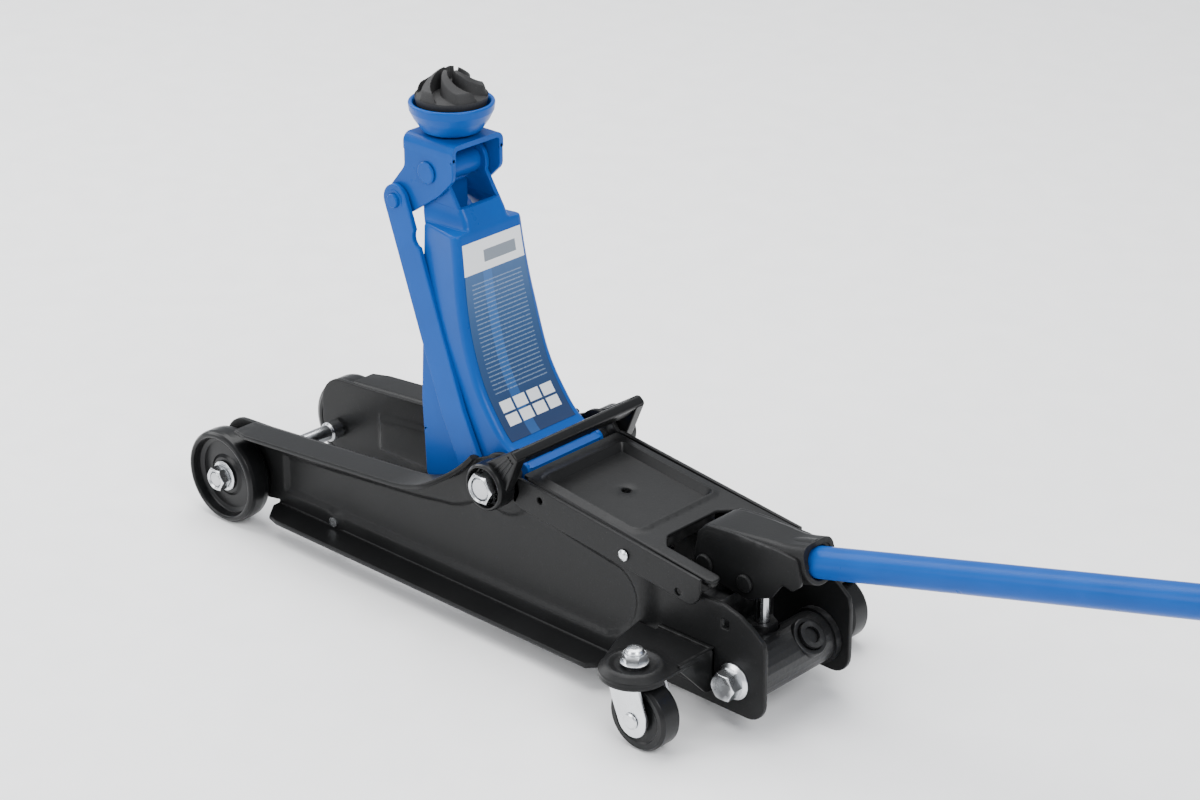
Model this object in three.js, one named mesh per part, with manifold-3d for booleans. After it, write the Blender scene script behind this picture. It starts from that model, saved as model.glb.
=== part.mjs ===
// A small two-tonne trolley jack, standing fully raised on its four wheels.
// Millimetres, +Z up, +X towards the saddle end, +Y to the left of a person looking along +X.
// Sizes are written from the lift arm's main pivot line, and the whole group is then moved
// so that the origin lies on the ground under the middle of the object's box.
import * as THREE from 'three';
import { mergeVertices } from 'three/addons/utils/BufferGeometryUtils.js';
import Module from 'manifold-3d';

const wasm = await Module();
wasm.setup();

// ---------------------------------------------------------------- driving dimensions
const gap = 0.3; // clearance between pieces that touch or are cut for each other
const sheet = 3; // pressed steel of the side plates, arm and saddle bracket
const thinSheet = 2.2; // pressed steel of the cover and the caster brackets

const pivot = { x: 0, z: 92.6 }; // lift arm's main pivot line
const pivotShaftRadius = 6.5;
const bossRadius = 15; // round boss on the side plate about the pivot
const pivotNutWall = 2.7; // nut's corner radius beyond the shaft
const pivotNutHeight = 8.8;

const plateOuterY = 39.8; // outer face of each side plate
const panelDepth = 2; // how far the long side panel is drawn inwards
const flangeReach = 18; // how far the side plates' flanges stand out
const lobeStep = 3.6; // how far the side plate's rear lobe is stepped inwards
const stripProud = 1.8; // how far the strip over the cover's skirt stands out of the side plate
const lobeTop = { x: -104, z: 79 };
const flangeFrontX = 204.5;
const flangeFrontZ = 62.3;
const flangeMidX = 72;
const flangeMidZ = 74.5;
const lowerFlangeZ = 12.9;
const lowerFlangeFrontX = 180.9;
const lowerFlangeRearX = -86;
const lobeRearX = -183.5;
const lobeBottomZ = 11;
const lobeCornerRadius = 11;

const frontWheel = { x: 216.5, radius: 28.5, inside: 1.8, width: 17.6, recess: 3.9 };
const axleRadius = 4.5;
const axleMiddleRadius = 4;
const axleNutRadius = 7.6;
const axleNutHeight = 6.4;
const washerRadius = 9.2;
const washerThickness = 1.5;

const coverFront = { x: -13.5, z: 99 };
const coverSlope = THREE.MathUtils.degToRad(6.83);
const coverLength = 136.5;
const coverSkirt = 12;
const cutOutDepth = 45.5; // rear cut-out for the handle socket, along the cover
const cutOutHalfWidth = 30;
const tray = { front: 9, rear: 79, halfWidth: 32, depth: 3, rim: 2.5 };

const armLength = 169.1; // main pivot to saddle pin, the same on the parallel links
const armAngle = THREE.MathUtils.degToRad(64.1); // arm above horizontal when fully raised
const armHalfWidth = 30;
const shoulderDrop = 30.7; // saddle pin down to the arm's shoulders
const armShoulderHalfWidth = 27;
const neckHalfWidth = 16.2;
const armTubeWall = 3.2;
const saddlePinRadius = 5;
const linkOffset = { x: 22.5, z: -20.6 }; // from each arm pivot to the matching link pivot
const linkHalfWidth = 9;
const linkThickness = 3.2;
const linkPinRadius = 4;
const linkFootPinRadius = 5;

const bracket = { rise: 18.8, rear: 19.4, front: 18.1 }; // saddle bracket from the saddle pin
const cup = { radius: 23.7, height: 17.4, wall: 2.6, studRadius: 6 };
const padHeight = 36.5; // saddle pad's top above the bracket
const padRadius = 20;

const leverRadius = 46; // main pivot to the ram's cross pin
const leverSwing = THREE.MathUtils.degToRad(36); // half of the arm's whole swing
const ramPinRadius = 5;
const ramRadius = 8;
const ramAxisZ = 46;
const yokeHalfLength = 9;
const reservoir = { rearX: -126, frontX: -62, radius: 15, wall: 2.2 };
const blockTopZ = 61; // pump block's flat top, under the socket's lug
const cylinderRadius = 11.6;
const springOffsetY = 21.3;
const springRadius = 3.4;

const trunnion = { x: -163, z: 29.7, radius: 14.5 };
const rearBolt = { radius: 5, flangeRadius: 10.2, hexRadius: 8.2, headHeight: 9.9 };
const pumpX = -151.5;
const pistonRadius = 4;
const glandRadius = 8.4;
const glandTopZ = 46.8;
const glandFootZ = 27;

const socketPin = { x: -123.5, z: 75.8, radius: 4 };
const pistonPin = { x: -151, z: 74, radius: 3.2 };
const socketHalfWidth = 14;
const socketWall = 2.7;
const handleSlope = THREE.MathUtils.degToRad(14.8);
const handlePoint = { x: -182.7, z: 92.5 }; // a point on the handle's centre line
const handleRadius = 8.5;
const handleWall = 1.6;
const handleStart = -20; // inner end, measured outwards along the handle from handlePoint
const handleEnd = 430;
const capLength = 14;

const casterOut = { x: -131.5, fromPlate: 37.7 };
const casterWheel = { trail: 7.5, radius: 18.9, width: 16 };
const casterBracketTopZ = 46;
const casterDiscRadius = 19;
const stemRadius = 5;

const carry = { hubWall: 4.8, inside: 1.4, hubWidth: 12, barNear: 20.5, barFar: 31.5, thickness: 6 };
const carryAngle = THREE.MathUtils.degToRad(130); // bar above the pivot line, from +X towards +Z
const carryLegWidth = 8;

const tieRod = { x: 137, z: 20, radius: 3 };
const coverScrew = { x: -91.2, z: 79.6, radius: 1.9 };

// ---------------------------------------------------------------- places worked out from them
const plateInnerY = plateOuterY - sheet;
const lobeOuterY = plateOuterY - lobeStep;
const lobeInnerY = lobeOuterY - sheet;
const stripOuterY = plateOuterY + stripProud;
const coverHalfWidth = plateOuterY - 1.2;
const linkFootInnerY = armHalfWidth + 2 * gap;
const carryInnerY = stripOuterY + carry.inside;
const carryOuterY = carryInnerY + carry.hubWidth;
const carryHalfWidth = carryInnerY + carryLegWidth;
const pivotNutRadius = pivotShaftRadius + pivotNutWall;
const pivotNutInnerY = carryInnerY + carry.hubWidth / 2;
const pivotNutFaceY = pivotNutInnerY + pivotNutHeight;
const armTubeRadius = pivotShaftRadius + gap + armTubeWall;
const bracketOuterY = neckHalfWidth + gap + sheet;
const linkTopInnerY = bracketOuterY + 0.5;
const wheelInnerY = plateOuterY + frontWheel.inside;
const casterSwivel = { x: casterOut.x, y: plateOuterY + casterOut.fromPlate };
const armTip = polar(pivot, armLength, armAngle);
const bracketTopZ = armTip.z + bracket.rise;
const bracketRearX = armTip.x - bracket.rear;
const bracketFrontX = armTip.x + bracket.front;
const cupFootZ = bracketTopZ + 0.5;
const cupRimZ = cupFootZ + cup.height;
const padTopZ = bracketTopZ + padHeight;
const shoulderZ = armTip.z - shoulderDrop;
const linkFoot = { x: pivot.x + linkOffset.x, z: pivot.z + linkOffset.z };
const linkTip = { x: armTip.x + linkOffset.x, z: armTip.z + linkOffset.z };
const ramPin = {
  x: pivot.x + leverRadius * Math.sin(leverSwing),
  z: pivot.z - leverRadius * Math.cos(leverSwing),
};
const handleDirection = new THREE.Vector3(-Math.cos(handleSlope), 0, Math.sin(handleSlope));
const wheelOuterY = wheelInnerY + frontWheel.width;
const handleRearX = onHandle(handleEnd + capLength).x - handleRadius * Math.sin(handleSlope);
const boxMiddleX = (frontWheel.x + frontWheel.radius + handleRearX) / 2;

function polar(from, radius, angle) {
  return { x: from.x + radius * Math.cos(angle), z: from.z + radius * Math.sin(angle) };
}

function onHandle(distance) {
  const start = new THREE.Vector3(handlePoint.x, 0, handlePoint.z);
  return start.addScaledVector(handleDirection, distance);
}

// Height of the cover plate's top face at a place along the jack.
function coverZ(x) {
  return coverFront.z + Math.tan(coverSlope) * (x - coverFront.x);
}

// ---------------------------------------------------------------- finishes
const black = finish(0x17181a, 0.55, 0.35);
const blue = finish(0x0078d4, 0.38, 0.2);
const zinc = finish(0xc4c8cb, 0.3, 0.9);
const steel = finish(0x9da2a6, 0.25, 0.95);
const plastic = finish(0x1b1c1d, 0.6, 0);
const rubber = finish(0x151515, 0.85, 0);
const label = finish(0x24568f, 0.4, 0);
const castIron = finish(0x222426, 0.6, 0.4);

function finish(color, roughness, metalness) {
  return { color, roughness, metalness };
}

// ---------------------------------------------------------------- solid helpers
function toManifold(geometry) {
  const bare = geometry.clone();
  bare.deleteAttribute('normal');
  bare.deleteAttribute('uv');
  const merged = mergeVertices(bare, 1e-5);
  const vertProperties = new Float32Array(merged.attributes.position.array);
  const triVerts = new Uint32Array(merged.index.array);
  return new wasm.Manifold(new wasm.Mesh({ numProp: 3, vertProperties, triVerts }));
}

function fromManifold(solid) {
  const mesh = solid.getMesh();
  const positions = new Float32Array((mesh.vertProperties.length / mesh.numProp) * 3);
  for (let i = 0; i < positions.length / 3; i += 1) {
    for (let k = 0; k < 3; k += 1) {
      positions[3 * i + k] = mesh.vertProperties[mesh.numProp * i + k];
    }
  }
  const geometry = new THREE.BufferGeometry();
  geometry.setAttribute('position', new THREE.BufferAttribute(positions, 3));
  geometry.setIndex(new THREE.BufferAttribute(new Uint32Array(mesh.triVerts), 1));
  return geometry;
}

// Joins the geometries in adds, then cuts those in cuts out of the result.
function carve(adds, cuts = []) {
  let solid = toManifold(adds[0]);
  for (const piece of adds.slice(1)) {
    solid = solid.add(toManifold(piece));
  }
  for (const piece of cuts) {
    solid = solid.subtract(toManifold(piece));
  }
  return fromManifold(solid);
}

function outline(points) {
  return new THREE.Shape(points.map(([x, y]) => new THREE.Vector2(x, y)));
}

// A flat plate: an outline in X and Z, from y0 to y1.
function plate(points, y0, y1) {
  const geometry = new THREE.ExtrudeGeometry(outline(points), { depth: y1 - y0, bevelEnabled: false });
  geometry.rotateX(Math.PI / 2);
  geometry.translate(0, y1, 0);
  return geometry;
}

// A flat slab: an outline in X and Y, from z0 to z1.
function slab(points, z0, z1) {
  const geometry = new THREE.ExtrudeGeometry(outline(points), { depth: z1 - z0, bevelEnabled: false });
  geometry.translate(0, 0, z0);
  return geometry;
}

function block(x0, x1, y0, y1, z0, z1) {
  const geometry = new THREE.BoxGeometry(x1 - x0, y1 - y0, z1 - z0);
  geometry.translate((x0 + x1) / 2, (y0 + y1) / 2, (z0 + z1) / 2);
  return geometry;
}

// A round bar along Y through (x, z), or a prism when sides is small.
function barY(x, z, radius, y0, y1, sides = 20) {
  const geometry = new THREE.CylinderGeometry(radius, radius, y1 - y0, sides);
  geometry.translate(x, (y0 + y1) / 2, z);
  return geometry;
}

function barZ(x, y, radius, z0, z1, sides = 20) {
  const geometry = new THREE.CylinderGeometry(radius, radius, z1 - z0, sides);
  geometry.rotateX(Math.PI / 2);
  geometry.translate(x, y, (z0 + z1) / 2);
  return geometry;
}

function barX(y, z, radius, x0, x1, sides = 20) {
  const geometry = new THREE.CylinderGeometry(radius, radius, x1 - x0, sides);
  geometry.rotateZ(-Math.PI / 2);
  geometry.translate((x0 + x1) / 2, y, z);
  return geometry;
}

// A round bar between two points.
function barBetween(from, to, radius, sides = 20) {
  const geometry = new THREE.CylinderGeometry(radius, radius, from.distanceTo(to), sides);
  const direction = to.clone().sub(from).normalize();
  const turn = new THREE.Quaternion().setFromUnitVectors(new THREE.Vector3(0, 1, 0), direction);
  geometry.applyQuaternion(turn);
  const middle = from.clone().add(to).multiplyScalar(0.5);
  geometry.translate(middle.x, middle.y, middle.z);
  return geometry;
}

// A turned piece about the Z axis: [radius, height] pairs.
function turned(profile, sides = 24) {
  const geometry = new THREE.LatheGeometry(profile.map(([r, z]) => new THREE.Vector2(r, z)), sides);
  geometry.rotateX(Math.PI / 2);
  return geometry;
}

// A turned piece about a line along Y: [radius, y] pairs.
function turnedY(profile, x, z, sides = 24) {
  const geometry = new THREE.LatheGeometry(profile.map(([r, y]) => new THREE.Vector2(r, y)), sides);
  geometry.translate(x, 0, z);
  return geometry;
}

// Points on an arc about a centre, from one angle to another, in degrees.
function arc(cx, cy, radius, from, to, steps) {
  const points = [];
  for (let i = 0; i <= steps; i += 1) {
    const angle = THREE.MathUtils.degToRad(from + ((to - from) * i) / steps);
    points.push([cx + radius * Math.cos(angle), cy + radius * Math.sin(angle)]);
  }
  return points;
}

// A closed solid through rings of equal length, each a list of [x, y, z], capped at both ends.
function loft(rings) {
  const count = rings[0].length;
  const positions = rings.flat(2);
  const index = [];
  for (let r = 0; r + 1 < rings.length; r += 1) {
    for (let i = 0; i < count; i += 1) {
      const j = (i + 1) % count;
      const a = r * count + i;
      const b = r * count + j;
      index.push(a, b, b + count, a, b + count, a + count);
    }
  }
  const last = (rings.length - 1) * count;
  for (const [a, b, c] of capTriangles(rings[0])) {
    index.push(a, c, b);
  }
  for (const [a, b, c] of capTriangles(rings[rings.length - 1])) {
    index.push(last + a, last + b, last + c);
  }
  const geometry = new THREE.BufferGeometry();
  geometry.setAttribute('position', new THREE.Float32BufferAttribute(positions, 3));
  geometry.setIndex(index);
  return geometry;
}

// Triangles that fill a flat ring, anticlockwise in the X and Y directions.
function capTriangles(ring) {
  const flat = ring.map(([x, y]) => new THREE.Vector2(x, y));
  return THREE.ShapeUtils.triangulateShape(flat, []);
}

const group = new THREE.Group();
const jack = new THREE.Group();
jack.position.x = -boxMiddleX;
group.add(jack);

function node(name, geometry, look, parent = jack) {
  const mesh = new THREE.Mesh(geometry, new THREE.MeshStandardMaterial(look));
  mesh.name = name;
  parent.add(mesh);
  return mesh;
}

// The same piece on both sides: the right one is the left one mirrored in Y.
function pair(name, geometry, look, parent = jack) {
  node(`${name}_left`, geometry, look, parent);
  node(`${name}_right`, geometry, look, parent).scale.y = -1;
}

// ---------------------------------------------------------------- side plates
function flangePath() {
  const rise = new THREE.QuadraticBezierCurve(
    new THREE.Vector2(flangeMidX, flangeMidZ),
    new THREE.Vector2(38, 77.5),
    new THREE.Vector2(22, 100.5),
  );
  const points = [[flangeFrontX, flangeFrontZ]];
  for (const point of rise.getPoints(8)) {
    points.push([point.x, point.y]);
  }
  return points;
}

function sidePlate() {
  const top = flangePath();
  const web = [
    [lowerFlangeFrontX, lowerFlangeZ],
    [lowerFlangeFrontX, 16.5],
    ...arc(214, 28.5, 12, -90, 0, 4),
    ...arc(214, 49, 12, 0, 90, 4).map(([x, z]) => [x, Math.min(z, 61)]),
    [flangeFrontX, flangeFrontZ],
    ...top.slice(1),
    ...arc(pivot.x, pivot.z, bossRadius, 40, 150, 6),
    [-17, coverZ(-17) - coverSkirt - 1],
    [lobeTop.x - 8, coverZ(lobeTop.x - 8) - coverSkirt - 1],
    [lobeTop.x - 8, lobeBottomZ],
    [lowerFlangeRearX, lowerFlangeZ],
  ];
  const lobe = [
    [lobeTop.x, lobeBottomZ + 1],
    [lobeTop.x, coverZ(lobeTop.x - 8) - coverSkirt - 1],
    [lobeTop.x - 8, coverZ(lobeTop.x - 8) - coverSkirt - 1],
    [lobeTop.x - 8, lobeTop.z - 1],
    [-141, 73.2],
    [-155, 71.6],
    [-166, 68.2],
    [-175, 63.2],
    [lobeRearX + 0.6, 56.5],
    [lobeRearX, 54],
    ...arc(lobeRearX + lobeCornerRadius, lobeBottomZ + lobeCornerRadius, lobeCornerRadius, 180, 270, 4),
  ];
  const strip = [
    [-16, coverZ(-16)],
    [-16, coverZ(-16) - coverSkirt - 5],
    [-122, coverZ(-122) - coverSkirt - 4],
    ...arc(-134, coverZ(-134) - 9, 8.5, 270, 180, 4),
    [-142.5, coverZ(-142.5)],
  ];
  const band = [
    ...top,
    ...[...top].reverse().map(([x, z], i) => [x - (i < 8 ? 1.6 : 0), z - sheet]),
  ];
  const flangeEnd = [[14, 112], [14, 60], [34, 60], [46, 84], [52, 112]];
  const adds = [
    plate(web, plateInnerY, plateOuterY),
    plate(lobe, lobeInnerY, lobeOuterY),
    block(lobeTop.x - 8, lobeTop.x, lobeInnerY, plateOuterY, lobeBottomZ + 1,
      coverZ(lobeTop.x - 8) - coverSkirt - 1),
    plate(strip, plateOuterY - 0.9, stripOuterY),
    barY(pivot.x, pivot.z, bossRadius, plateOuterY - 1, stripOuterY, 24),
    block(lowerFlangeRearX, lowerFlangeFrontX, plateInnerY, plateOuterY + flangeReach,
      lowerFlangeZ, lowerFlangeZ + sheet),
  ];
  const flange = carve([plate(band, plateInnerY, plateOuterY + flangeReach)],
    [plate(flangeEnd, plateOuterY + 2, plateOuterY + flangeReach + 1)]);
  const panel = [
    [lowerFlangeFrontX, 24.5],
    [lowerFlangeFrontX, 49.5],
    [70, 61],
    [38, 66],
    [20, 74],
    ...arc(pivot.x, pivot.z, 19, -40, -150, 5),
    [-50, coverZ(-50) - 18],
    ...arc(-79.7, 52, 20, 90, 180, 5),
    [-98.5, 45],
    [-94, 36],
    [-87, 29.5],
    [-78, 25.2],
  ];
  const drawn = shrink(panel, sheet);
  const cuts = [
    plate(panel, plateOuterY - panelDepth, plateOuterY + 0.6),
    barY(pivot.x, pivot.z, pivotShaftRadius + gap, lobeInnerY, stripOuterY + 1, 20),
    barY(frontWheel.x, frontWheel.radius, axleRadius + gap, lobeInnerY, stripOuterY, 16),
    barY(linkFoot.x, linkFoot.z, linkFootPinRadius + gap, lobeInnerY - 2, stripOuterY, 16),
    barY(trunnion.x, trunnion.z, rearBolt.radius + gap, lobeInnerY - 1, stripOuterY, 16),
    barY(tieRod.x, tieRod.z, tieRod.radius + gap, lobeInnerY - 2, stripOuterY, 12),
    barY(coverScrew.x, coverScrew.z, coverScrew.radius + gap, lobeInnerY, stripOuterY + 1, 12),
    barY(-29.8, 90.2, 1.6, plateOuterY - 2, stripOuterY + 1, 10),
    barY(-128.6, 71.2, 1.8, plateOuterY - 2, stripOuterY + 1, 10),
    block(-158.4, -154.4, lobeInnerY - 1, lobeOuterY + 1, 58.4, 62.4),
  ];
  const inner = plate(drawn, plateInnerY - panelDepth, plateInnerY + 0.4);
  return carve([...adds, flange, inner], cuts);
}

// Moves every side of an anticlockwise or clockwise outline inwards by a distance.
function shrink(points, distance) {
  const turn = Math.sign(THREE.ShapeUtils.area(points.map(([x, y]) => new THREE.Vector2(x, y))));
  return points.map(([x, y], i) => {
    const [px, py] = points[(i + points.length - 1) % points.length];
    const [nx, ny] = points[(i + 1) % points.length];
    const before = new THREE.Vector2(-(y - py), x - px).normalize();
    const after = new THREE.Vector2(-(ny - y), nx - x).normalize();
    const middle = before.add(after).normalize();
    const cosine = Math.max(0.5, middle.dot(after));
    return [x + (turn * middle.x * distance) / cosine, y + (turn * middle.y * distance) / cosine];
  });
}

pair('side_plate', sidePlate(), black);

// ---------------------------------------------------------------- cover plate, in its own sloping frame
function coverPlate() {
  const w = coverHalfWidth;
  const inner = plateInnerY - gap;
  const notch = bossRadius + coverFront.x + 2.5;
  const cutX = -(coverLength - cutOutDepth);
  const top = slab([
    [-notch, w], [-notch, inner], [0, inner], [0, -inner], [-notch, -inner],
    [-notch, -w], [-coverLength + 5, -w], [-coverLength, -w + 5],
    [-coverLength, -cutOutHalfWidth], [cutX - 9, -cutOutHalfWidth], [cutX, -cutOutHalfWidth + 11],
    [cutX, cutOutHalfWidth - 5], [cutX - 4, cutOutHalfWidth], [-coverLength, cutOutHalfWidth],
    [-coverLength, w - 5], [-coverLength + 5, w],
  ], -thinSheet, 0);
  const t = tray;
  const adds = [
    top,
    block(-t.rear, -t.front, -t.halfWidth, t.halfWidth, -1, 1),
    block(-t.rear + 1, -t.front - 1, -t.halfWidth + 1, t.halfWidth - 1, -t.depth - thinSheet, -1),
    block(cutX, cutX + thinSheet, -cutOutHalfWidth + 12, cutOutHalfWidth - 6, -6, -1),
  ];
  for (const side of [-1, 1]) {
    const [a, b] = [side * w, side * (w - thinSheet)];
    adds.push(block(-coverLength + 8, -notch - 1, Math.min(a, b), Math.max(a, b), -coverSkirt, -1));
    const lip = side * cutOutHalfWidth;
    const lipOuter = side * (cutOutHalfWidth + thinSheet);
    adds.push(block(-coverLength + 7, cutX - 10, Math.min(lip, lipOuter), Math.max(lip, lipOuter), -6, -1));
  }
  const cuts = [
    block(-t.rear + t.rim, -t.front - t.rim, -t.halfWidth + t.rim, t.halfWidth - t.rim, -t.depth, 2),
    barZ(-(t.front + t.rear) / 2 + 2, 0, 3, -8, 2, 14),
  ];
  const away = new THREE.Vector2(coverScrew.x - coverFront.x, coverScrew.z - coverFront.z);
  const screwAt = away.rotateAround(new THREE.Vector2(), -coverSlope);
  for (const side of [-1, 1]) {
    cuts.push(barY(screwAt.x, screwAt.y, coverScrew.radius + gap, side * w - 3, side * w + 3, 12));
  }
  return carve(adds, cuts);
}

const cover = node('cover_plate', coverPlate(), black);
cover.rotation.y = -coverSlope;
cover.position.set(coverFront.x, 0, coverFront.z);

const screwHeadY = stripOuterY + gap;
pair('cover_screw', carve([
  barY(coverScrew.x, coverScrew.z, coverScrew.radius, coverHalfWidth - thinSheet, screwHeadY + 0.5, 12),
  barY(coverScrew.x, coverScrew.z, 3.2, screwHeadY, screwHeadY + 1.6, 14),
]), zinc);

// ---------------------------------------------------------------- front axle and wheels
const hubFaceY = wheelOuterY - 4.7;
const washerInnerY = hubFaceY + gap;
const nutInnerY = washerInnerY + washerThickness + gap;
const axleEndY = nutInnerY + axleNutHeight - 0.6;

node('front_axle', turnedY([
  [0, -axleEndY], [axleRadius, -axleEndY], [axleRadius, -plateInnerY + 1.5], [5.4, -plateInnerY + 1.5],
  [5.4, -plateInnerY + 8], [axleMiddleRadius, -plateInnerY + 8], [axleMiddleRadius, plateInnerY - 8],
  [5.4, plateInnerY - 8], [5.4, plateInnerY - 1.5], [axleRadius, plateInnerY - 1.5],
  [axleRadius, axleEndY], [0, axleEndY],
], frontWheel.x, frontWheel.radius, 16), steel);

function ring(radius, bore, y0, y1, x, z, sides) {
  return turnedY([[bore, y0], [radius, y0], [radius, y1], [bore, y1], [bore, y0]], x, z, sides);
}

function frontWheelBody() {
  const { radius: r, recess } = frontWheel;
  const a = wheelInnerY;
  const c = r - recess;
  const b = wheelOuterY;
  const bore = axleRadius + gap;
  return turnedY([
    [bore, a], [10, a], [10, a + 3], [c - 1, a + 3], [c, a + 0.4], [r - 2.4, a + 0.4], [r, a + 3.4],
    [r, b - 3.4], [r - 2.2, b], [c, b], [c - 1.2, b - 6.4], [10.2, b - 6.4], [9.6, hubFaceY],
    [bore, hubFaceY], [bore, a],
  ], frontWheel.x, frontWheel.radius, 32);
}

pair('front_wheel', frontWheelBody(), plastic);
pair('front_washer', ring(washerRadius, axleRadius + gap, washerInnerY, washerInnerY + washerThickness,
  frontWheel.x, frontWheel.radius, 20), zinc);
pair('front_nut', carve(
  [barY(frontWheel.x, frontWheel.radius, axleNutRadius, nutInnerY, nutInnerY + axleNutHeight, 6)],
  [barY(frontWheel.x, frontWheel.radius, axleRadius + gap, nutInnerY - 1, axleEndY + 9, 14)],
), zinc);

// ---------------------------------------------------------------- main pivot and carry handle
const shaftEndY = pivotNutFaceY - 1;
node('main_pivot_shaft', barY(pivot.x, pivot.z, pivotShaftRadius, -shaftEndY, shaftEndY, 20), steel);
pair('main_pivot_nut', carve(
  [barY(pivot.x, pivot.z, pivotNutRadius, pivotNutInnerY, pivotNutFaceY, 6)],
  [barY(pivot.x, pivot.z, pivotShaftRadius + gap, pivotNutInnerY - 1, pivotNutFaceY + 1, 18)],
), zinc);

function carryHandle() {
  const c = carry;
  const along = [Math.cos(carryAngle), Math.sin(carryAngle)];
  const across = [-along[1], along[0]];
  const at = (radius, side) => [
    pivot.x + along[0] * radius + across[0] * side,
    pivot.z + along[1] * radius + across[1] * side,
  ];
  const half = c.thickness / 2;
  const hub = pivotNutRadius + c.hubWall;
  const bar = [at(c.barNear, -half), at(c.barFar, -half), at(c.barFar, half), at(c.barNear, half)];
  const leg = [at(4, -hub + 3), at(c.barFar, -half), at(c.barFar, half), at(4, hub - 3)];
  const adds = [plate(bar, -carryHalfWidth, carryHalfWidth)];
  const cuts = [];
  for (const side of [-1, 1]) {
    const y = (a, b) => [Math.min(side * a, side * b), Math.max(side * a, side * b)];
    adds.push(barY(pivot.x, pivot.z, hub, ...y(carryInnerY, carryOuterY), 28));
    adds.push(plate(leg, ...y(carryInnerY, carryHalfWidth)));
    cuts.push(barY(pivot.x, pivot.z, pivotShaftRadius + 2 * gap, ...y(carryInnerY - 2, carryOuterY + 2), 20));
    cuts.push(barY(pivot.x, pivot.z, pivotNutRadius + 2 * gap, ...y(pivotNutInnerY - gap, carryOuterY + 2), 24));
  }
  return carve(adds, cuts);
}

node('carry_handle', carryHandle(), plastic);

// ---------------------------------------------------------------- lift arm
function armBack() {
  const curve = new THREE.SplineCurve([
    new THREE.Vector2(-11, 98.5), new THREE.Vector2(3.2, 104.8), new THREE.Vector2(14.4, 115.3),
    new THREE.Vector2(29, 138.3), new THREE.Vector2(armTip.x - 34.2, shoulderZ - 39.5),
    new THREE.Vector2(armTip.x - 27.9, shoulderZ),
  ]);
  return curve.getPoints(14).map((point) => [point.x, point.y]);
}

function armHalfWidthAt(z) {
  const t = THREE.MathUtils.clamp((z - shoulderZ + 44) / 44, 0, 1);
  return armHalfWidth + (armShoulderHalfWidth - armHalfWidth) * t;
}

function armFrontAt(z) {
  return 69.3 + (z - 70.9) * 0.0485;
}

// A horizontal section of the arm's pressed channel: open towards +X.
function channelSection(backX, frontX, half, backThickness, z) {
  const inner = half - sheet;
  const insideX = Math.min(backX + backThickness, frontX - 1);
  return [
    [frontX, half, z], [backX, half, z], [backX, -half, z], [frontX, -half, z],
    [frontX, -inner, z], [insideX, -inner, z], [insideX, inner, z], [frontX, inner, z],
  ];
}

function liftArm() {
  const back = armBack();
  const rings = back.map(([x, z], i) => {
    const [ax, az] = back[Math.max(0, i - 1)];
    const [bx, bz] = back[Math.min(back.length - 1, i + 1)];
    const slope = Math.atan2(bz - az, bx - ax);
    return channelSection(x, armFrontAt(z), armHalfWidthAt(z), sheet / Math.sin(slope), z);
  });
  const neck = [[-27.3, 3, 25.5, 2.5], [-26.3, 4, 20, 5.5], [-24.9, 6, neckHalfWidth, 7.5],
    [-21.9, 8, neckHalfWidth, 13]];
  for (const [back, front, half, rise] of neck) {
    rings.push(channelSection(armTip.x + back, armTip.x + front, half, sheet, shoulderZ + rise));
  }
  const earRadius = 12;
  const ear = [
    [armTip.x - 20.9, shoulderZ + 12], [armTip.x + 8, shoulderZ + 12],
    ...arc(armTip.x, armTip.z, earRadius, -20, 200, 8),
  ];
  const cheek = [
    [armFrontAt(99), 99], [-11, 99], [-12.3, 88], [-7, 81.2], [12, 62],
    ...arc(ramPin.x, ramPin.z, 10, 200, 290, 4), [armFrontAt(70), 68],
  ];
  const adds = [
    loft(rings),
    barY(pivot.x, pivot.z, armTubeRadius, -armHalfWidth + 1, armHalfWidth - 1, 20),
    barY(armTip.x, armTip.z, saddlePinRadius + 3, -neckHalfWidth + 1, neckHalfWidth - 1, 20),
  ];
  for (const side of [-1, 1]) {
    const [a, b] = [side * (armHalfWidth - sheet), side * armHalfWidth];
    adds.push(plate(cheek, Math.min(a, b), Math.max(a, b)));
    const [c, d] = [side * (neckHalfWidth - sheet), side * neckHalfWidth];
    adds.push(plate(ear, Math.min(c, d), Math.max(c, d)));
  }
  return carve(adds, [
    barY(pivot.x, pivot.z, pivotShaftRadius + gap, -armHalfWidth - 1, armHalfWidth + 1, 20),
    barY(armTip.x, armTip.z, saddlePinRadius + gap, -armHalfWidth - 1, armHalfWidth + 1, 18),
    barY(ramPin.x, ramPin.z, ramPinRadius + gap, -armHalfWidth - 1, armHalfWidth + 1, 18),
  ]);
}

node('lift_arm', liftArm(), blue);

function labelPlate() {
  const back = armBack().filter(([, z]) => z > 117 && z < shoulderZ - 2);
  const face = [];
  const rear = [];
  back.forEach(([x, z], i) => {
    const [ax, az] = back[Math.max(0, i - 1)];
    const [bx, bz] = back[Math.min(back.length - 1, i + 1)];
    const normal = new THREE.Vector2(-(bz - az), bx - ax).normalize();
    face.push([x + normal.x * gap, z + normal.y * gap]);
    rear.push([x + normal.x * (gap + 0.5), z + normal.y * (gap + 0.5)]);
  });
  return plate([...face, ...rear.reverse()], -armShoulderHalfWidth + 4, armShoulderHalfWidth - 4);
}

node('label_plate', labelPlate(), label);

const pinHeadY = bracketOuterY + gap;
node('saddle_pin', carve([
  barY(armTip.x, armTip.z, saddlePinRadius, -pinHeadY - 1, pinHeadY + 1, 18),
  barY(armTip.x, armTip.z, saddlePinRadius + 1.2, pinHeadY, pinHeadY + 1.4, 18),
  barY(armTip.x, armTip.z, saddlePinRadius + 1.2, -pinHeadY - 1.4, -pinHeadY, 18),
]), blue);
node('ram_pin', barY(ramPin.x, ramPin.z, ramPinRadius, -armHalfWidth, armHalfWidth, 18), steel);

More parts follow.
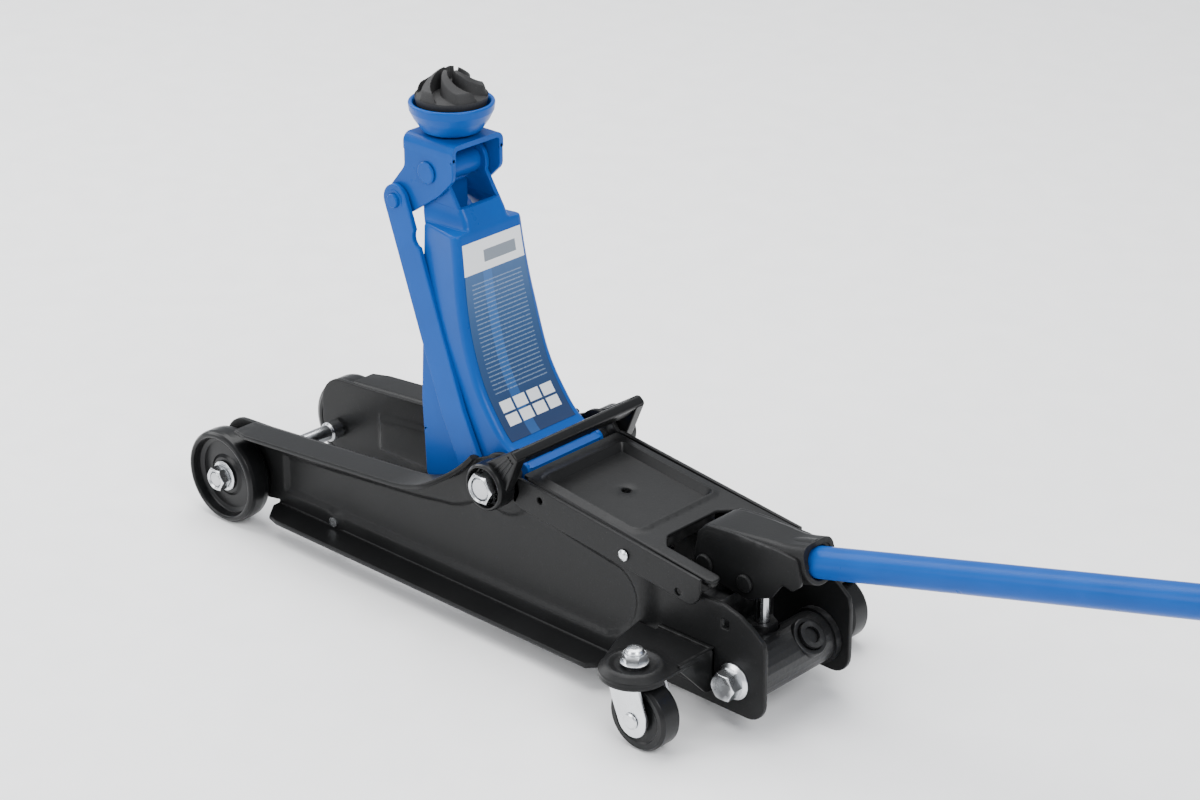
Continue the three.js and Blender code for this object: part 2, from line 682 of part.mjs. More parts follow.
// ---------------------------------------------------------------- saddle bracket, cup and pad
function saddleBracket() {
  const cheek = [
    [bracketRearX, bracketTopZ], [bracketRearX, armTip.z - 1],
    [armTip.x - 8, linkTip.z + 8.6], [linkTip.x - 11, linkTip.z - 4.6],
    ...arc(linkTip.x, linkTip.z, 9.5, -120, 30, 6),
    [bracketFrontX, linkTip.z + 20], [bracketFrontX, bracketTopZ],
  ];
  const adds = [block(bracketRearX, bracketFrontX, -bracketOuterY, bracketOuterY,
    bracketTopZ - sheet, bracketTopZ)];
  const cuts = [barZ(armTip.x, 0, cup.studRadius + gap, bracketTopZ - 6, bracketTopZ + 2, 18)];
  for (const side of [-1, 1]) {
    const [a, b] = [side * (bracketOuterY - sheet), side * bracketOuterY];
    const [y0, y1] = [Math.min(a, b), Math.max(a, b)];
    adds.push(plate(cheek, y0, y1));
    cuts.push(barY(armTip.x, armTip.z, saddlePinRadius + gap, y0 - 1, y1 + 1, 18));
    cuts.push(barY(linkTip.x, linkTip.z, linkPinRadius + gap, y0 - 1, y1 + 1, 16));
  }
  return carve(adds, cuts);
}

node('saddle_bracket', saddleBracket(), blue);

function saddleCup() {
  const { radius: r, wall, studRadius } = cup;
  const [footZ, rimZ] = [cupFootZ, cupRimZ];
  const geometry = turned([
    [0, bracketTopZ - 5], [studRadius, bracketTopZ - 5], [studRadius, footZ], [14, footZ],
    [17.2, footZ + 2], [21.6, footZ + 9], [r, rimZ - 3], [r, rimZ], [r - wall, rimZ],
    [r - wall - 1.2, footZ + 9.5], [15, footZ + 4.6], [0, footZ + 4.6],
  ], 28);
  geometry.translate(armTip.x, 0, 0);
  return geometry;
}

node('saddle_cup', saddleCup(), blue);

function saddlePad() {
  const base = turned([
    [0, cupFootZ + 5], [14.4, cupFootZ + 5], [19, cupFootZ + 10.5], [padRadius, cupRimZ],
    [padRadius - 1, cupRimZ + 4], [13, cupRimZ + 8], [0, cupRimZ + 9],
  ], 24);
  const adds = [base];
  const blades = 5;
  for (let i = 0; i < blades; i += 1) {
    const blade = block(3, padRadius - 2.5, 2, 8.5, cupRimZ, padTopZ - (i % 2) * 1.5);
    blade.rotateZ((2 * Math.PI * i) / blades);
    adds.push(blade);
  }
  const geometry = carve(adds);
  geometry.translate(armTip.x, 0, 0);
  return geometry;
}

node('saddle_pad', saddlePad(), rubber);

// ---------------------------------------------------------------- parallel links
// Sections run from the foot pin to the top pin; the strap steps outwards below the arm's shoulder.
function linkStrap() {
  const direction = new THREE.Vector2(Math.cos(armAngle), Math.sin(armAngle));
  const side = new THREE.Vector2(direction.y, -direction.x);
  const stations = [-8.9, -7.6, -5, 0, armLength - 32, armLength - 8, armLength, armLength + 5,
    armLength + 7.6, armLength + 8.9];
  const rings = stations.map((s) => {
    const past = Math.max(0, -s, s - armLength);
    const half = Math.sqrt(Math.max(0.6, linkHalfWidth ** 2 - past ** 2));
    const t = THREE.MathUtils.clamp((armLength - 8 - s) / 24, 0, 1);
    const inner = linkTopInnerY + (linkFootInnerY - linkTopInnerY) * t;
    const centre = direction.clone().multiplyScalar(s).add(new THREE.Vector2(linkFoot.x, linkFoot.z));
    const rearEdge = centre.clone().addScaledVector(side, -half);
    const frontEdge = centre.clone().addScaledVector(side, half);
    return [
      [rearEdge.x, inner, rearEdge.y], [frontEdge.x, inner, frontEdge.y],
      [frontEdge.x, inner + linkThickness, frontEdge.y], [rearEdge.x, inner + linkThickness, rearEdge.y],
    ];
  });
  const notch = polar(linkFoot, armLength - 24, armAngle);
  return carve([loft(rings)], [
    barY(linkFoot.x, linkFoot.z, linkFootPinRadius + gap, linkFootInnerY - 3, linkFootInnerY + 8, 16),
    barY(linkTip.x, linkTip.z, linkPinRadius + gap, linkTopInnerY - 3, linkTopInnerY + 8, 16),
    barY(notch.x - side.x * 12.5, notch.z - side.y * 12.5, 6, linkTopInnerY - 3, linkFootInnerY + 8, 16),
  ]);
}

pair('link', linkStrap(), blue);
const footHeadY = linkFootInnerY - gap;
pair('link_foot_pin', barY(linkFoot.x, linkFoot.z, linkFootPinRadius, footHeadY,
  plateOuterY - panelDepth + 0.4, 16), steel);
pair('link_top_pin', barY(linkTip.x, linkTip.z, linkPinRadius, bracketOuterY - sheet + gap,
  linkTopInnerY + linkThickness + 2.4, 16), blue);

// ---------------------------------------------------------------- hydraulic unit
function pumpBlock() {
  const ends = lobeInnerY - gap;
  const adds = [
    barY(trunnion.x, trunnion.z, trunnion.radius, -ends, ends, 24),
    barY(trunnion.x, trunnion.z, trunnion.radius + 1.5, -ends, -ends + 4, 24),
    barY(trunnion.x, trunnion.z, trunnion.radius + 1.5, ends - 4, ends, 24),
    block(-162, -138, -14, 14, 17, glandFootZ - gap),
    block(-138.5, reservoir.rearX - gap, -25, 25, 17, blockTopZ),
  ];
  const valve = releaseValveLine();
  adds.push(barBetween(valve.from, valve.mouth, 7.5, 18));
  const cuts = [
    barZ(pumpX, 0, glandRadius + 1.2, glandFootZ - gap, 80, 20),
    barZ(pumpX, 0, pistonRadius + gap, 18, 30, 16),
    barBetween(valve.seat, valve.beyond, 4.4 + gap, 16),
  ];
  for (const side of [-1, 1]) {
    const y = side * ends;
    cuts.push(barY(trunnion.x, trunnion.z, rearBolt.radius + gap,
      Math.min(y - side * 14, y + side), Math.max(y - side * 14, y + side), 16));
  }
  return carve(adds, cuts);
}

// The release valve looks up and to the rear out of the trunnion.
function releaseValveLine() {
  const direction = new THREE.Vector3(-Math.SQRT1_2, 0, Math.SQRT1_2);
  const centre = new THREE.Vector3(trunnion.x, -13, trunnion.z);
  const at = (distance) => centre.clone().addScaledVector(direction, distance);
  return {
    from: at(6), seat: at(5), mouth: at(trunnion.radius + 2.5), beyond: at(30), direction,
    tip: at(trunnion.radius + 1), foot: at(6),
  };
}

node('pump_block', pumpBlock(), castIron);

function releaseValve() {
  const { foot, tip, direction } = releaseValveLine();
  const slotStart = tip.clone().addScaledVector(direction, -2.5);
  const screw = barBetween(foot, tip, 4.4, 16);
  const slot = new THREE.BoxGeometry(12, 1.6, 12);
  const turn = new THREE.Quaternion().setFromUnitVectors(new THREE.Vector3(0, 0, 1), direction);
  slot.translate(0, 0, 6);
  slot.applyQuaternion(turn);
  slot.translate(slotStart.x, slotStart.y, slotStart.z);
  return carve([screw], [slot]);
}

node('release_valve', releaseValve(), steel);

pair('rear_bolt', carve([
  barY(trunnion.x, trunnion.z, rearBolt.radius, lobeInnerY - 13, lobeOuterY + 7, 16),
  barY(trunnion.x, trunnion.z, rearBolt.flangeRadius, lobeOuterY + gap, lobeOuterY + 2.4, 24),
  barY(trunnion.x, trunnion.z, rearBolt.hexRadius, lobeOuterY + 2,
    lobeOuterY + rearBolt.headHeight, 6),
]), zinc);

function tubeX(z, outer, inner, x0, x1, sides) {
  return carve([barX(0, z, outer, x0, x1, sides)], [barX(0, z, inner, x0 - 1, x1 + 1, sides)]);
}

node('reservoir_tube', tubeX(ramAxisZ, reservoir.radius, reservoir.radius - reservoir.wall,
  reservoir.rearX, reservoir.frontX, 24), castIron);
node('cylinder_tube', tubeX(ramAxisZ, cylinderRadius, ramRadius + gap,
  reservoir.rearX, reservoir.frontX, 18), steel);
node('ram_gland', carve(
  [barX(0, ramAxisZ, reservoir.radius - 0.5, reservoir.frontX + gap, reservoir.frontX + 12, 8)],
  [barX(0, ramAxisZ, ramRadius + gap, reservoir.frontX - 1, reservoir.frontX + 14, 18)],
), castIron);
const fillerX = -84;
node('filler_plug', barZ(fillerX, 0, 4, ramAxisZ + reservoir.radius + gap,
  ramAxisZ + reservoir.radius + 4, 12), rubber);

function ram() {
  const x = ramPin.x;
  const travel = 2 * leverRadius * Math.sin(leverSwing);
  const rear = reservoir.rearX + travel + 2;
  const slotHalf = ramPinRadius + 1.1;
  const slotTop = ramPin.z + ramPinRadius + 1;
  const slotFoot = pivot.z - leverRadius - ramPinRadius - 1;
  return carve([
    barX(0, ramAxisZ, ramRadius, rear, x - yokeHalfLength + 1, 18),
    block(x - yokeHalfLength, x + yokeHalfLength, -15, 15, slotFoot - 4, slotTop + 4),
    block(x - yokeHalfLength, x - yokeHalfLength + 2.6, -25, 25, ramAxisZ - 5, ramAxisZ + 5),
  ], [block(x - slotHalf, x + slotHalf, -16, 16, slotFoot, slotTop)]);
}

node('ram', ram(), steel);
pair('return_spring', barX(springOffsetY, ramAxisZ, springRadius, reservoir.rearX,
  ramPin.x - yokeHalfLength - gap, 12), steel);

node('pump_gland', carve(
  [barZ(pumpX, 0, glandRadius, glandFootZ, glandTopZ, 6)],
  [barZ(pumpX, 0, pistonRadius + gap, glandFootZ - 1, glandTopZ + 1, 16)],
), castIron);

function pumpPiston() {
  const pinSwing = pistonPin.x - socketPin.x;
  const slotRear = pistonPin.x - pistonPin.radius - 0.7;
  const slotFront = socketPin.x + pinSwing * 0.8 + pistonPin.radius + 0.6;
  const top = pistonPin.z + pistonPin.radius + 2.4;
  const foot = pistonPin.z - pistonPin.radius - 2.6;
  return carve([
    barZ(pumpX, 0, pistonRadius, glandFootZ - 0.5, foot + 1, 16),
    block(slotRear - 2.4, slotFront + 2.4, -3.5, 3.5, foot, top),
  ], [block(slotRear, slotFront, -4, 4, pistonPin.z - pistonPin.radius - 0.8,
    pistonPin.z + pistonPin.radius + 0.8)]);
}

node('pump_piston', pumpPiston(), steel);

const lugFootZ = blockTopZ + gap;
node('socket_lug', carve([
  plate([[-137.5, lugFootZ], [-127, lugFootZ], [-126, 66], [-117, 69], [-115.6, 74],
    ...arc(socketPin.x, socketPin.z, 8, 25, 150, 5), [-132.5, 74]], -5, 5),
], [barY(socketPin.x, socketPin.z, socketPin.radius + gap, -6, 6, 16)]), zinc);

// ---------------------------------------------------------------- handle socket and handle
function handleSocket() {
  const mouth = onHandle(6);
  const inner = onHandle(-26);
  const w = socketHalfWidth;
  const sides = [
    [-116.5, 84.5], [-118, 93], [-124, 98.6], [-142, 100], [-176, 103.4], [-178, 79.5],
    [-168, 71], ...arc(pistonPin.x, pistonPin.z, 9.5, 235, 300, 3), [-134, 66.5],
    ...arc(socketPin.x, socketPin.z, 9, 250, 340, 4),
  ];
  const hollow = [
    [-110, 86], [-118, 86], [-120.5, 92.4], [-125, 95.8], [-142, 97.2], [-170, 99.9], [-171, 60],
    [-110, 60],
  ];
  const beyond = onHandle(40);
  return carve([
    plate(sides, -w, w),
    barBetween(inner, mouth, handleRadius + gap + socketWall + 0.6, 28),
  ], [
    plate(hollow, -w + socketWall, w - socketWall),
    barBetween(onHandle(handleStart - 2), beyond, handleRadius + gap, 28),
    barY(socketPin.x, socketPin.z, socketPin.radius + gap, -w - 1, w + 1, 16),
    barY(pistonPin.x, pistonPin.z, pistonPin.radius + gap, -w - 1, w + 1, 16),
  ]);
}

node('handle_socket', handleSocket(), black);

function headedPin(pin, headRadius) {
  const head = socketHalfWidth + gap;
  return carve([
    barY(pin.x, pin.z, pin.radius, -head - 1, head + 1, 16),
    barY(pin.x, pin.z, headRadius, head, head + 1.8, 18),
    barY(pin.x, pin.z, headRadius, -head - 1.8, -head, 18),
  ]);
}

node('socket_pivot_pin', headedPin(socketPin, 5.4), black);
node('piston_pin', headedPin(pistonPin, 5), black);

const tubeBore = handleRadius - handleWall;
node('handle_tube', carve(
  [barBetween(onHandle(handleStart), onHandle(handleEnd), handleRadius, 24)],
  [barBetween(onHandle(handleStart - 5), onHandle(handleEnd + 5), tubeBore, 24)],
), blue);
node('handle_end_cap', carve([
  barBetween(onHandle(handleEnd - 12), onHandle(handleEnd + 2), tubeBore - gap, 20),
  barBetween(onHandle(handleEnd + gap), onHandle(handleEnd + capLength), handleRadius, 20),
]), plastic);

// ---------------------------------------------------------------- rear casters
function casterBracket() {
  const { x, y } = casterSwivel;
  const r = casterDiscRadius;
  const rear = x - r + 0.4;
  const stepX = lobeTop.x - 8 - 0.5;
  const z = casterBracketTopZ;
  const wallFoot = 20;
  const inner = lobeOuterY + gap;
  const top = [
    [rear, inner], [stepX, inner], [stepX, plateOuterY + gap], [-100, plateOuterY + gap],
    ...arc(x, y, r, 10, 180, 9),
  ];
  const skirt = new THREE.ExtrudeGeometry(outline([
    [inner, z], [inner, wallFoot], [inner + 5, wallFoot], [y - 18, z - 3], [y - 18, z],
  ]), { depth: thinSheet, bevelEnabled: false });
  skirt.rotateX(Math.PI / 2);
  skirt.rotateZ(Math.PI / 2);
  skirt.translate(rear, 0, 0);
  const rimOuter = barZ(x, y, r, z - 6, z, 28);
  const keep = carve([rimOuter], [
    barZ(x, y, r - thinSheet, z - 7, z + 1, 28),
    block(x - 30, x + 30, y - 30, y - 3, z - 9, z + 2),
  ]);
  return carve([
    slab(top, z - thinSheet, z),
    block(rear, stepX, inner, inner + thinSheet, wallFoot, z - 1),
    skirt,
    keep,
  ], [barZ(x, y, stemRadius + gap, z - 5, z + 2, 18)]);
}

pair('caster_bracket', casterBracket(), black);

const forkTopZ = casterBracketTopZ - thinSheet - 1;
const wheelX = casterSwivel.x - casterWheel.trail;
const forkInner = casterWheel.width / 2 + 0.8;

function casterFork() {
  const { x, y } = casterSwivel;
  const axle = casterWheel.radius;
  const cheek = [
    [x + 9.5, forkTopZ - 1], [x - 9.5, forkTopZ - 1], [wheelX - 7.5, axle + 3],
    ...arc(wheelX, axle, 7.6, 180, 330, 6), [x + 4.5, axle + 8],
  ];
  const adds = [barZ(x, y, 12.4, forkTopZ - 2, forkTopZ, 22)];
  for (const side of [-1, 1]) {
    const [a, b] = [y + side * forkInner, y + side * (forkInner + 2)];
    adds.push(plate(cheek, Math.min(a, b), Math.max(a, b)));
  }
  return carve(adds, [
    barZ(x, y, stemRadius + gap, forkTopZ - 4, forkTopZ + 2, 18),
    barY(wheelX, axle, 3 + gap, y - 20, y + 20, 14),
  ]);
}

pair('caster_fork', casterFork(), zinc);
const stemTopZ = casterBracketTopZ + 8.4;
pair('caster_stem', carve([
  barZ(casterSwivel.x, casterSwivel.y, stemRadius, forkTopZ - 1.6, stemTopZ, 16),
  barZ(casterSwivel.x, casterSwivel.y, 7.6, casterBracketTopZ + gap, casterBracketTopZ + 6, 6),
]), zinc);
pair('caster_wheel', turnedY([
  [3 + gap, casterSwivel.y - 8], [8, casterSwivel.y - 8], [8, casterSwivel.y - 6],
  [casterWheel.radius - 2.2, casterSwivel.y - 6.6], [casterWheel.radius, casterSwivel.y - 4],
  [casterWheel.radius, casterSwivel.y + 4], [casterWheel.radius - 2.2, casterSwivel.y + 6.6],
  [8, casterSwivel.y + 6], [8, casterSwivel.y + 8], [3 + gap, casterSwivel.y + 8],
  [3 + gap, casterSwivel.y - 8],
], wheelX, casterWheel.radius, 28), plastic);
const rivetY = forkInner + 2 + gap;
pair('caster_axle', carve([
  barY(wheelX, casterWheel.radius, 3, casterSwivel.y - rivetY - 1, casterSwivel.y + rivetY + 1, 14),
  barY(wheelX, casterWheel.radius, 4.6, casterSwivel.y + rivetY, casterSwivel.y + rivetY + 1.4, 16),
  barY(wheelX, casterWheel.radius, 4.6, casterSwivel.y - rivetY - 1.4, casterSwivel.y - rivetY, 16),
]), zinc);

// ---------------------------------------------------------------- front tie rod
const rodEndY = plateOuterY - panelDepth + 4;
node('tie_rod', carve([
  barY(tieRod.x, tieRod.z, tieRod.radius, -rodEndY, rodEndY, 12),
]), zinc);

export default group;
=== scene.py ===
"""Looks of a small two-tonne trolley jack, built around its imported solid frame.

Every surface is worked out with numpy in millimetres, measured from the lift arm's main pivot
line (X forward to the saddle, Y to the left, Z up from the ground), and then placed in the
frame in metres. The left-hand pieces are made first and mirrored across the middle plane.
"""

import logging
import math
from dataclasses import dataclass, field
from enum import Enum
from typing import Callable, Sequence

import bmesh
import bpy
import numpy as np
from mathutils import Matrix, Vector
from mathutils.geometry import delaunay_2d_cdt


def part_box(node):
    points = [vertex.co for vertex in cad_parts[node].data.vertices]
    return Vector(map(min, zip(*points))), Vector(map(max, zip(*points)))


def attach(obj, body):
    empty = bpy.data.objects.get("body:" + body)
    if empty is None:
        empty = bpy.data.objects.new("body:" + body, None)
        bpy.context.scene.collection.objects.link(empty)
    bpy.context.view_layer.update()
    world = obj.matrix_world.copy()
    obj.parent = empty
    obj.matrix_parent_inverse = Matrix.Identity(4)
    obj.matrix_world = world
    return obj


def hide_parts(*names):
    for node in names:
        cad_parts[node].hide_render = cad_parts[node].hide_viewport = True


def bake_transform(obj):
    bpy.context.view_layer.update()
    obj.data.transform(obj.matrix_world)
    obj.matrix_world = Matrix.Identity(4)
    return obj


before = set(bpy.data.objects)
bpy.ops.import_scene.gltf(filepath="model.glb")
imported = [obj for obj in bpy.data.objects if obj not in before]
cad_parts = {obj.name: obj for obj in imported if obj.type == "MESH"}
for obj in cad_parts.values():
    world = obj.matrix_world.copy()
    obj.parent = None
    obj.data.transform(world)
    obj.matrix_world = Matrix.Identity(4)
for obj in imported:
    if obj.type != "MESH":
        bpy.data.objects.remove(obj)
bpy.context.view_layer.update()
LOG = logging.getLogger("trolley_jack")
MM = 0.001
# Sheets that join keep this much between faces that would otherwise lie in one plane.
FACE_GAP = 0.1


# --------------------------------------------------------------------------- places
def node_box(node: str) -> tuple[np.ndarray, np.ndarray]:
    """Finds where a solid of the frame lies.

    Args:
        node: The solid's name.

    Returns:
        Its lowest and highest corners in millimetres from the main pivot line.
    """
    low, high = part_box(node)
    return (np.array(low) - ORIGIN) / MM, (np.array(high) - ORIGIN) / MM


def node_centre(node: str) -> np.ndarray:
    """Finds the middle of a solid's box, in millimetres from the main pivot line."""
    low, high = node_box(node)
    return (low + high) / 2


def saddle_axis() -> np.ndarray:
    """Gives the place (x, z) of the pin that the saddle tilts on."""
    return node_centre("saddle_pin")[[0, 2]]


def _pivot_origin() -> np.ndarray:
    """Finds the point on the ground under the main pivot line, in metres."""
    low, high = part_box("main_pivot_shaft")
    return np.array([(low.x + high.x) / 2, 0.0, 0.0])


ORIGIN = _pivot_origin()
PIVOT_Z = (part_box("main_pivot_shaft")[0].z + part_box("main_pivot_shaft")[1].z) / 2 / MM


class Side(Enum):
    """The jack's two sides, by the sign of Y."""

    LEFT = 1
    RIGHT = -1

    def named(self, stem: str) -> str:
        """Gives the name of this side's copy of a piece."""
        return f"{stem}_{self.name.lower()}"


# --------------------------------------------------------------------------- surfaces
@dataclass(frozen=True)
class Surface:
    """Points in millimetres and the faces that join them."""

    points: np.ndarray
    faces: tuple[tuple[int, ...], ...]

    def with_others(self, *others: "Surface") -> "Surface":
        """Puts other surfaces into the same piece.

        Args:
            others: Surfaces to add, in order.

        Returns:
            The surfaces as one.
        """
        points, faces, base = [self.points], list(self.faces), len(self.points)
        for other in others:
            points.append(other.points)
            faces.extend(tuple(i + base for i in face) for face in other.faces)
            base += len(other.points)
        return Surface(np.vstack(points), tuple(faces))

    def placed(self, origin: Sequence[float], x_axis: Sequence[float], y_axis: Sequence[float]) -> "Surface":
        """Moves the surface so that its own X and Y run along two given directions.

        Args:
            origin: Where the surface's own origin goes.
            x_axis: Direction of its X.
            y_axis: Direction of its Y. Its Z is their cross product.

        Returns:
            The moved surface.
        """
        x = np.asarray(x_axis, float)
        y = np.asarray(y_axis, float)
        rows = np.vstack([x, y, np.cross(x, y)])
        return Surface(self.points @ rows + np.asarray(origin, float), self.faces)

    def flipped_y(self, middle: float) -> "Surface":
        """Mirrors the surface in Y about a plane, so that its heights point outwards."""
        points = self.points * [1, -1, 1] + [0, 2 * middle, 0]
        return Surface(points, tuple(face[::-1] for face in self.faces))

    def along_y(self, x: float, y: float, z: float) -> "Surface":
        """Stands a turned surface along +Y, with its own origin at (x, y, z)."""
        return self.placed((x, y, z), (0, 0, 1), (1, 0, 0))

    def facing_left(self, y: float) -> "Surface":
        """Stands a flat sheet upright, its X and Y along X and Z and its outer face towards +Y at y."""
        return self.placed((0, y, 0), (1, 0, 0), (0, 0, 1)).flipped_y(y)

    def on(self, side: Side) -> "Surface":
        """Gives the surface for one side: as it is on the left, mirrored in Y on the right."""
        if side is Side.LEFT:
            return self
        return Surface(self.points * [1, -1, 1], tuple(face[::-1] for face in self.faces))


def grid(points: np.ndarray, close_u: bool = False, close_v: bool = False, cap: bool = False) -> Surface:
    """Joins a rectangular array of points with four-sided faces.

    Args:
        points: Array of shape (rows, columns, 3).
        close_u: Whether the last row joins the first.
        close_v: Whether the last column joins the first.
        cap: Whether the first and last rows are filled.

    Returns:
        The surface.
    """
    rows, columns = points.shape[:2]
    u, v = np.meshgrid(np.arange(rows - (not close_u)), np.arange(columns - (not close_v)), indexing="ij")
    u2, v2 = (u + 1) % rows, (v + 1) % columns
    quads = np.stack([u * columns + v, u2 * columns + v, u2 * columns + v2, u * columns + v2], -1)
    faces = [tuple(int(i) for i in quad) for quad in quads.reshape(-1, 4)]
    if cap:
        faces.append(tuple(range(columns)))
        faces.append(tuple(range((rows - 1) * columns, rows * columns))[::-1])
    return Surface(points.reshape(-1, 3).astype(float), tuple(faces))


def joined(parts: Sequence[Surface]) -> Surface:
    """Puts several surfaces into one, in their order."""
    return parts[0].with_others(*parts[1:])


def unit_tangents(path: np.ndarray) -> np.ndarray:
    """Gives the direction of a path at each of its points, as rows of length 1."""
    tangent = np.gradient(path, axis=0)
    return tangent / np.linalg.norm(tangent, axis=1)[:, None]


def fillet(corners: Sequence[Sequence[float]], radius: float | Sequence[float], steps: int = 4) -> np.ndarray:
    """Rounds the corners of a closed outline.

    Each corner becomes an arc that touches both sides, shortened where a side is too short.

    Args:
        corners: The outline's corners in the plane.
        radius: One radius for all corners, or one for each.
        steps: Pieces in each arc.

    Returns:
        The rounded outline's points.
    """
    pts = np.asarray(corners, float)
    radii = np.broadcast_to(np.asarray(radius, float), len(pts))
    out: list[np.ndarray] = []
    for here, before, after, r in zip(pts, np.roll(pts, 1, 0), np.roll(pts, -1, 0), radii):
        a, b = before - here, after - here
        la, lb = np.hypot(*a), np.hypot(*b)
        a, b = a / la, b / lb
        half = math.acos(np.clip(a @ b, -1, 1)) / 2
        if r <= 0 or half > math.pi / 2 - 0.02:
            out.append(here[None])
            continue
        reach = min(r / math.tan(half), 0.48 * la, 0.48 * lb)
        start, end = here + a * reach, here + b * reach
        t = np.linspace(0, 1, steps + 1)[:, None]
        arc = (1 - t) ** 2 * start + 2 * t * (1 - t) * (here * 0.86 + (start + end) * 0.07) + t**2 * end
        out.append(arc)
    return np.vstack(out)


def arc_points(x: float, y: float, radius: float, start: float, end: float, steps: int) -> np.ndarray:
    """Gives points on an arc about (x, y), from one angle to another in degrees."""
    a = np.radians(np.linspace(start, end, steps + 1))
    return np.column_stack([x + radius * np.cos(a), y + radius * np.sin(a)])


def spaced(loop: np.ndarray, step: float) -> np.ndarray:
    """Adds points to a closed loop so that none are further apart than step.

    Args:
        loop: The closed loop.
        step: The longest gap to leave.

    Returns:
        The loop with the points added.
    """
    out = []
    for a, b in zip(loop, np.roll(loop, -1, 0)):
        n = max(1, int(math.ceil(np.hypot(*(b - a)) / step)))
        out.append(a + (b - a) * (np.arange(n) / n)[:, None])
    return np.vstack(out)


def inset(loop: np.ndarray, distance: float) -> np.ndarray:
    """Moves a closed loop's points inwards, square to the loop at each point.

    Args:
        loop: The closed loop, in either direction.
        distance: How far; a negative distance moves outwards.

    Returns:
        The moved loop.
    """
    tangent = np.roll(loop, -1, 0) - np.roll(loop, 1, 0)
    tangent /= np.maximum(np.hypot(tangent[:, 0], tangent[:, 1]), 1e-9)[:, None]
    area = 0.5 * np.sum(loop[:, 0] * np.roll(loop[:, 1], -1) - np.roll(loop[:, 0], -1) * loop[:, 1])
    normal = np.column_stack([-tangent[:, 1], tangent[:, 0]]) * math.copysign(1, area)
    return loop + normal * distance


def inside_distance(points: np.ndarray, loop: np.ndarray) -> np.ndarray:
    """Measures how far points lie inside a closed loop; points outside are negative.

    Args:
        points: Points in the plane.
        loop: The closed loop.

    Returns:
        Each point's distance to the loop's nearest side.
    """
    a, b = loop, np.roll(loop, -1, 0)
    edge = b - a
    rel = points[:, None, :] - a[None]
    t = np.clip((rel * edge).sum(2) / np.maximum((edge**2).sum(1), 1e-12), 0, 1)
    away = np.sqrt(((rel - t[..., None] * edge) ** 2).sum(2)).min(1)
    x, y = points[:, 0, None], points[:, 1, None]
    spans = (a[:, 1] > y) != (b[:, 1] > y)
    rise = np.where(np.abs(edge[:, 1]) < 1e-12, 1e-12, edge[:, 1])
    crossing = spans & (x < (y - a[:, 1]) / rise * edge[:, 0] + a[:, 0])
    return np.where(crossing.sum(1) % 2 == 1, away, -away)


def smoothstep(value: np.ndarray | float, start: float, end: float) -> np.ndarray:
    """Goes smoothly from 0 at start to 1 at end."""
    t = np.clip((np.asarray(value, float) - start) / (end - start), 0, 1)
    return t * t * (3 - 2 * t)


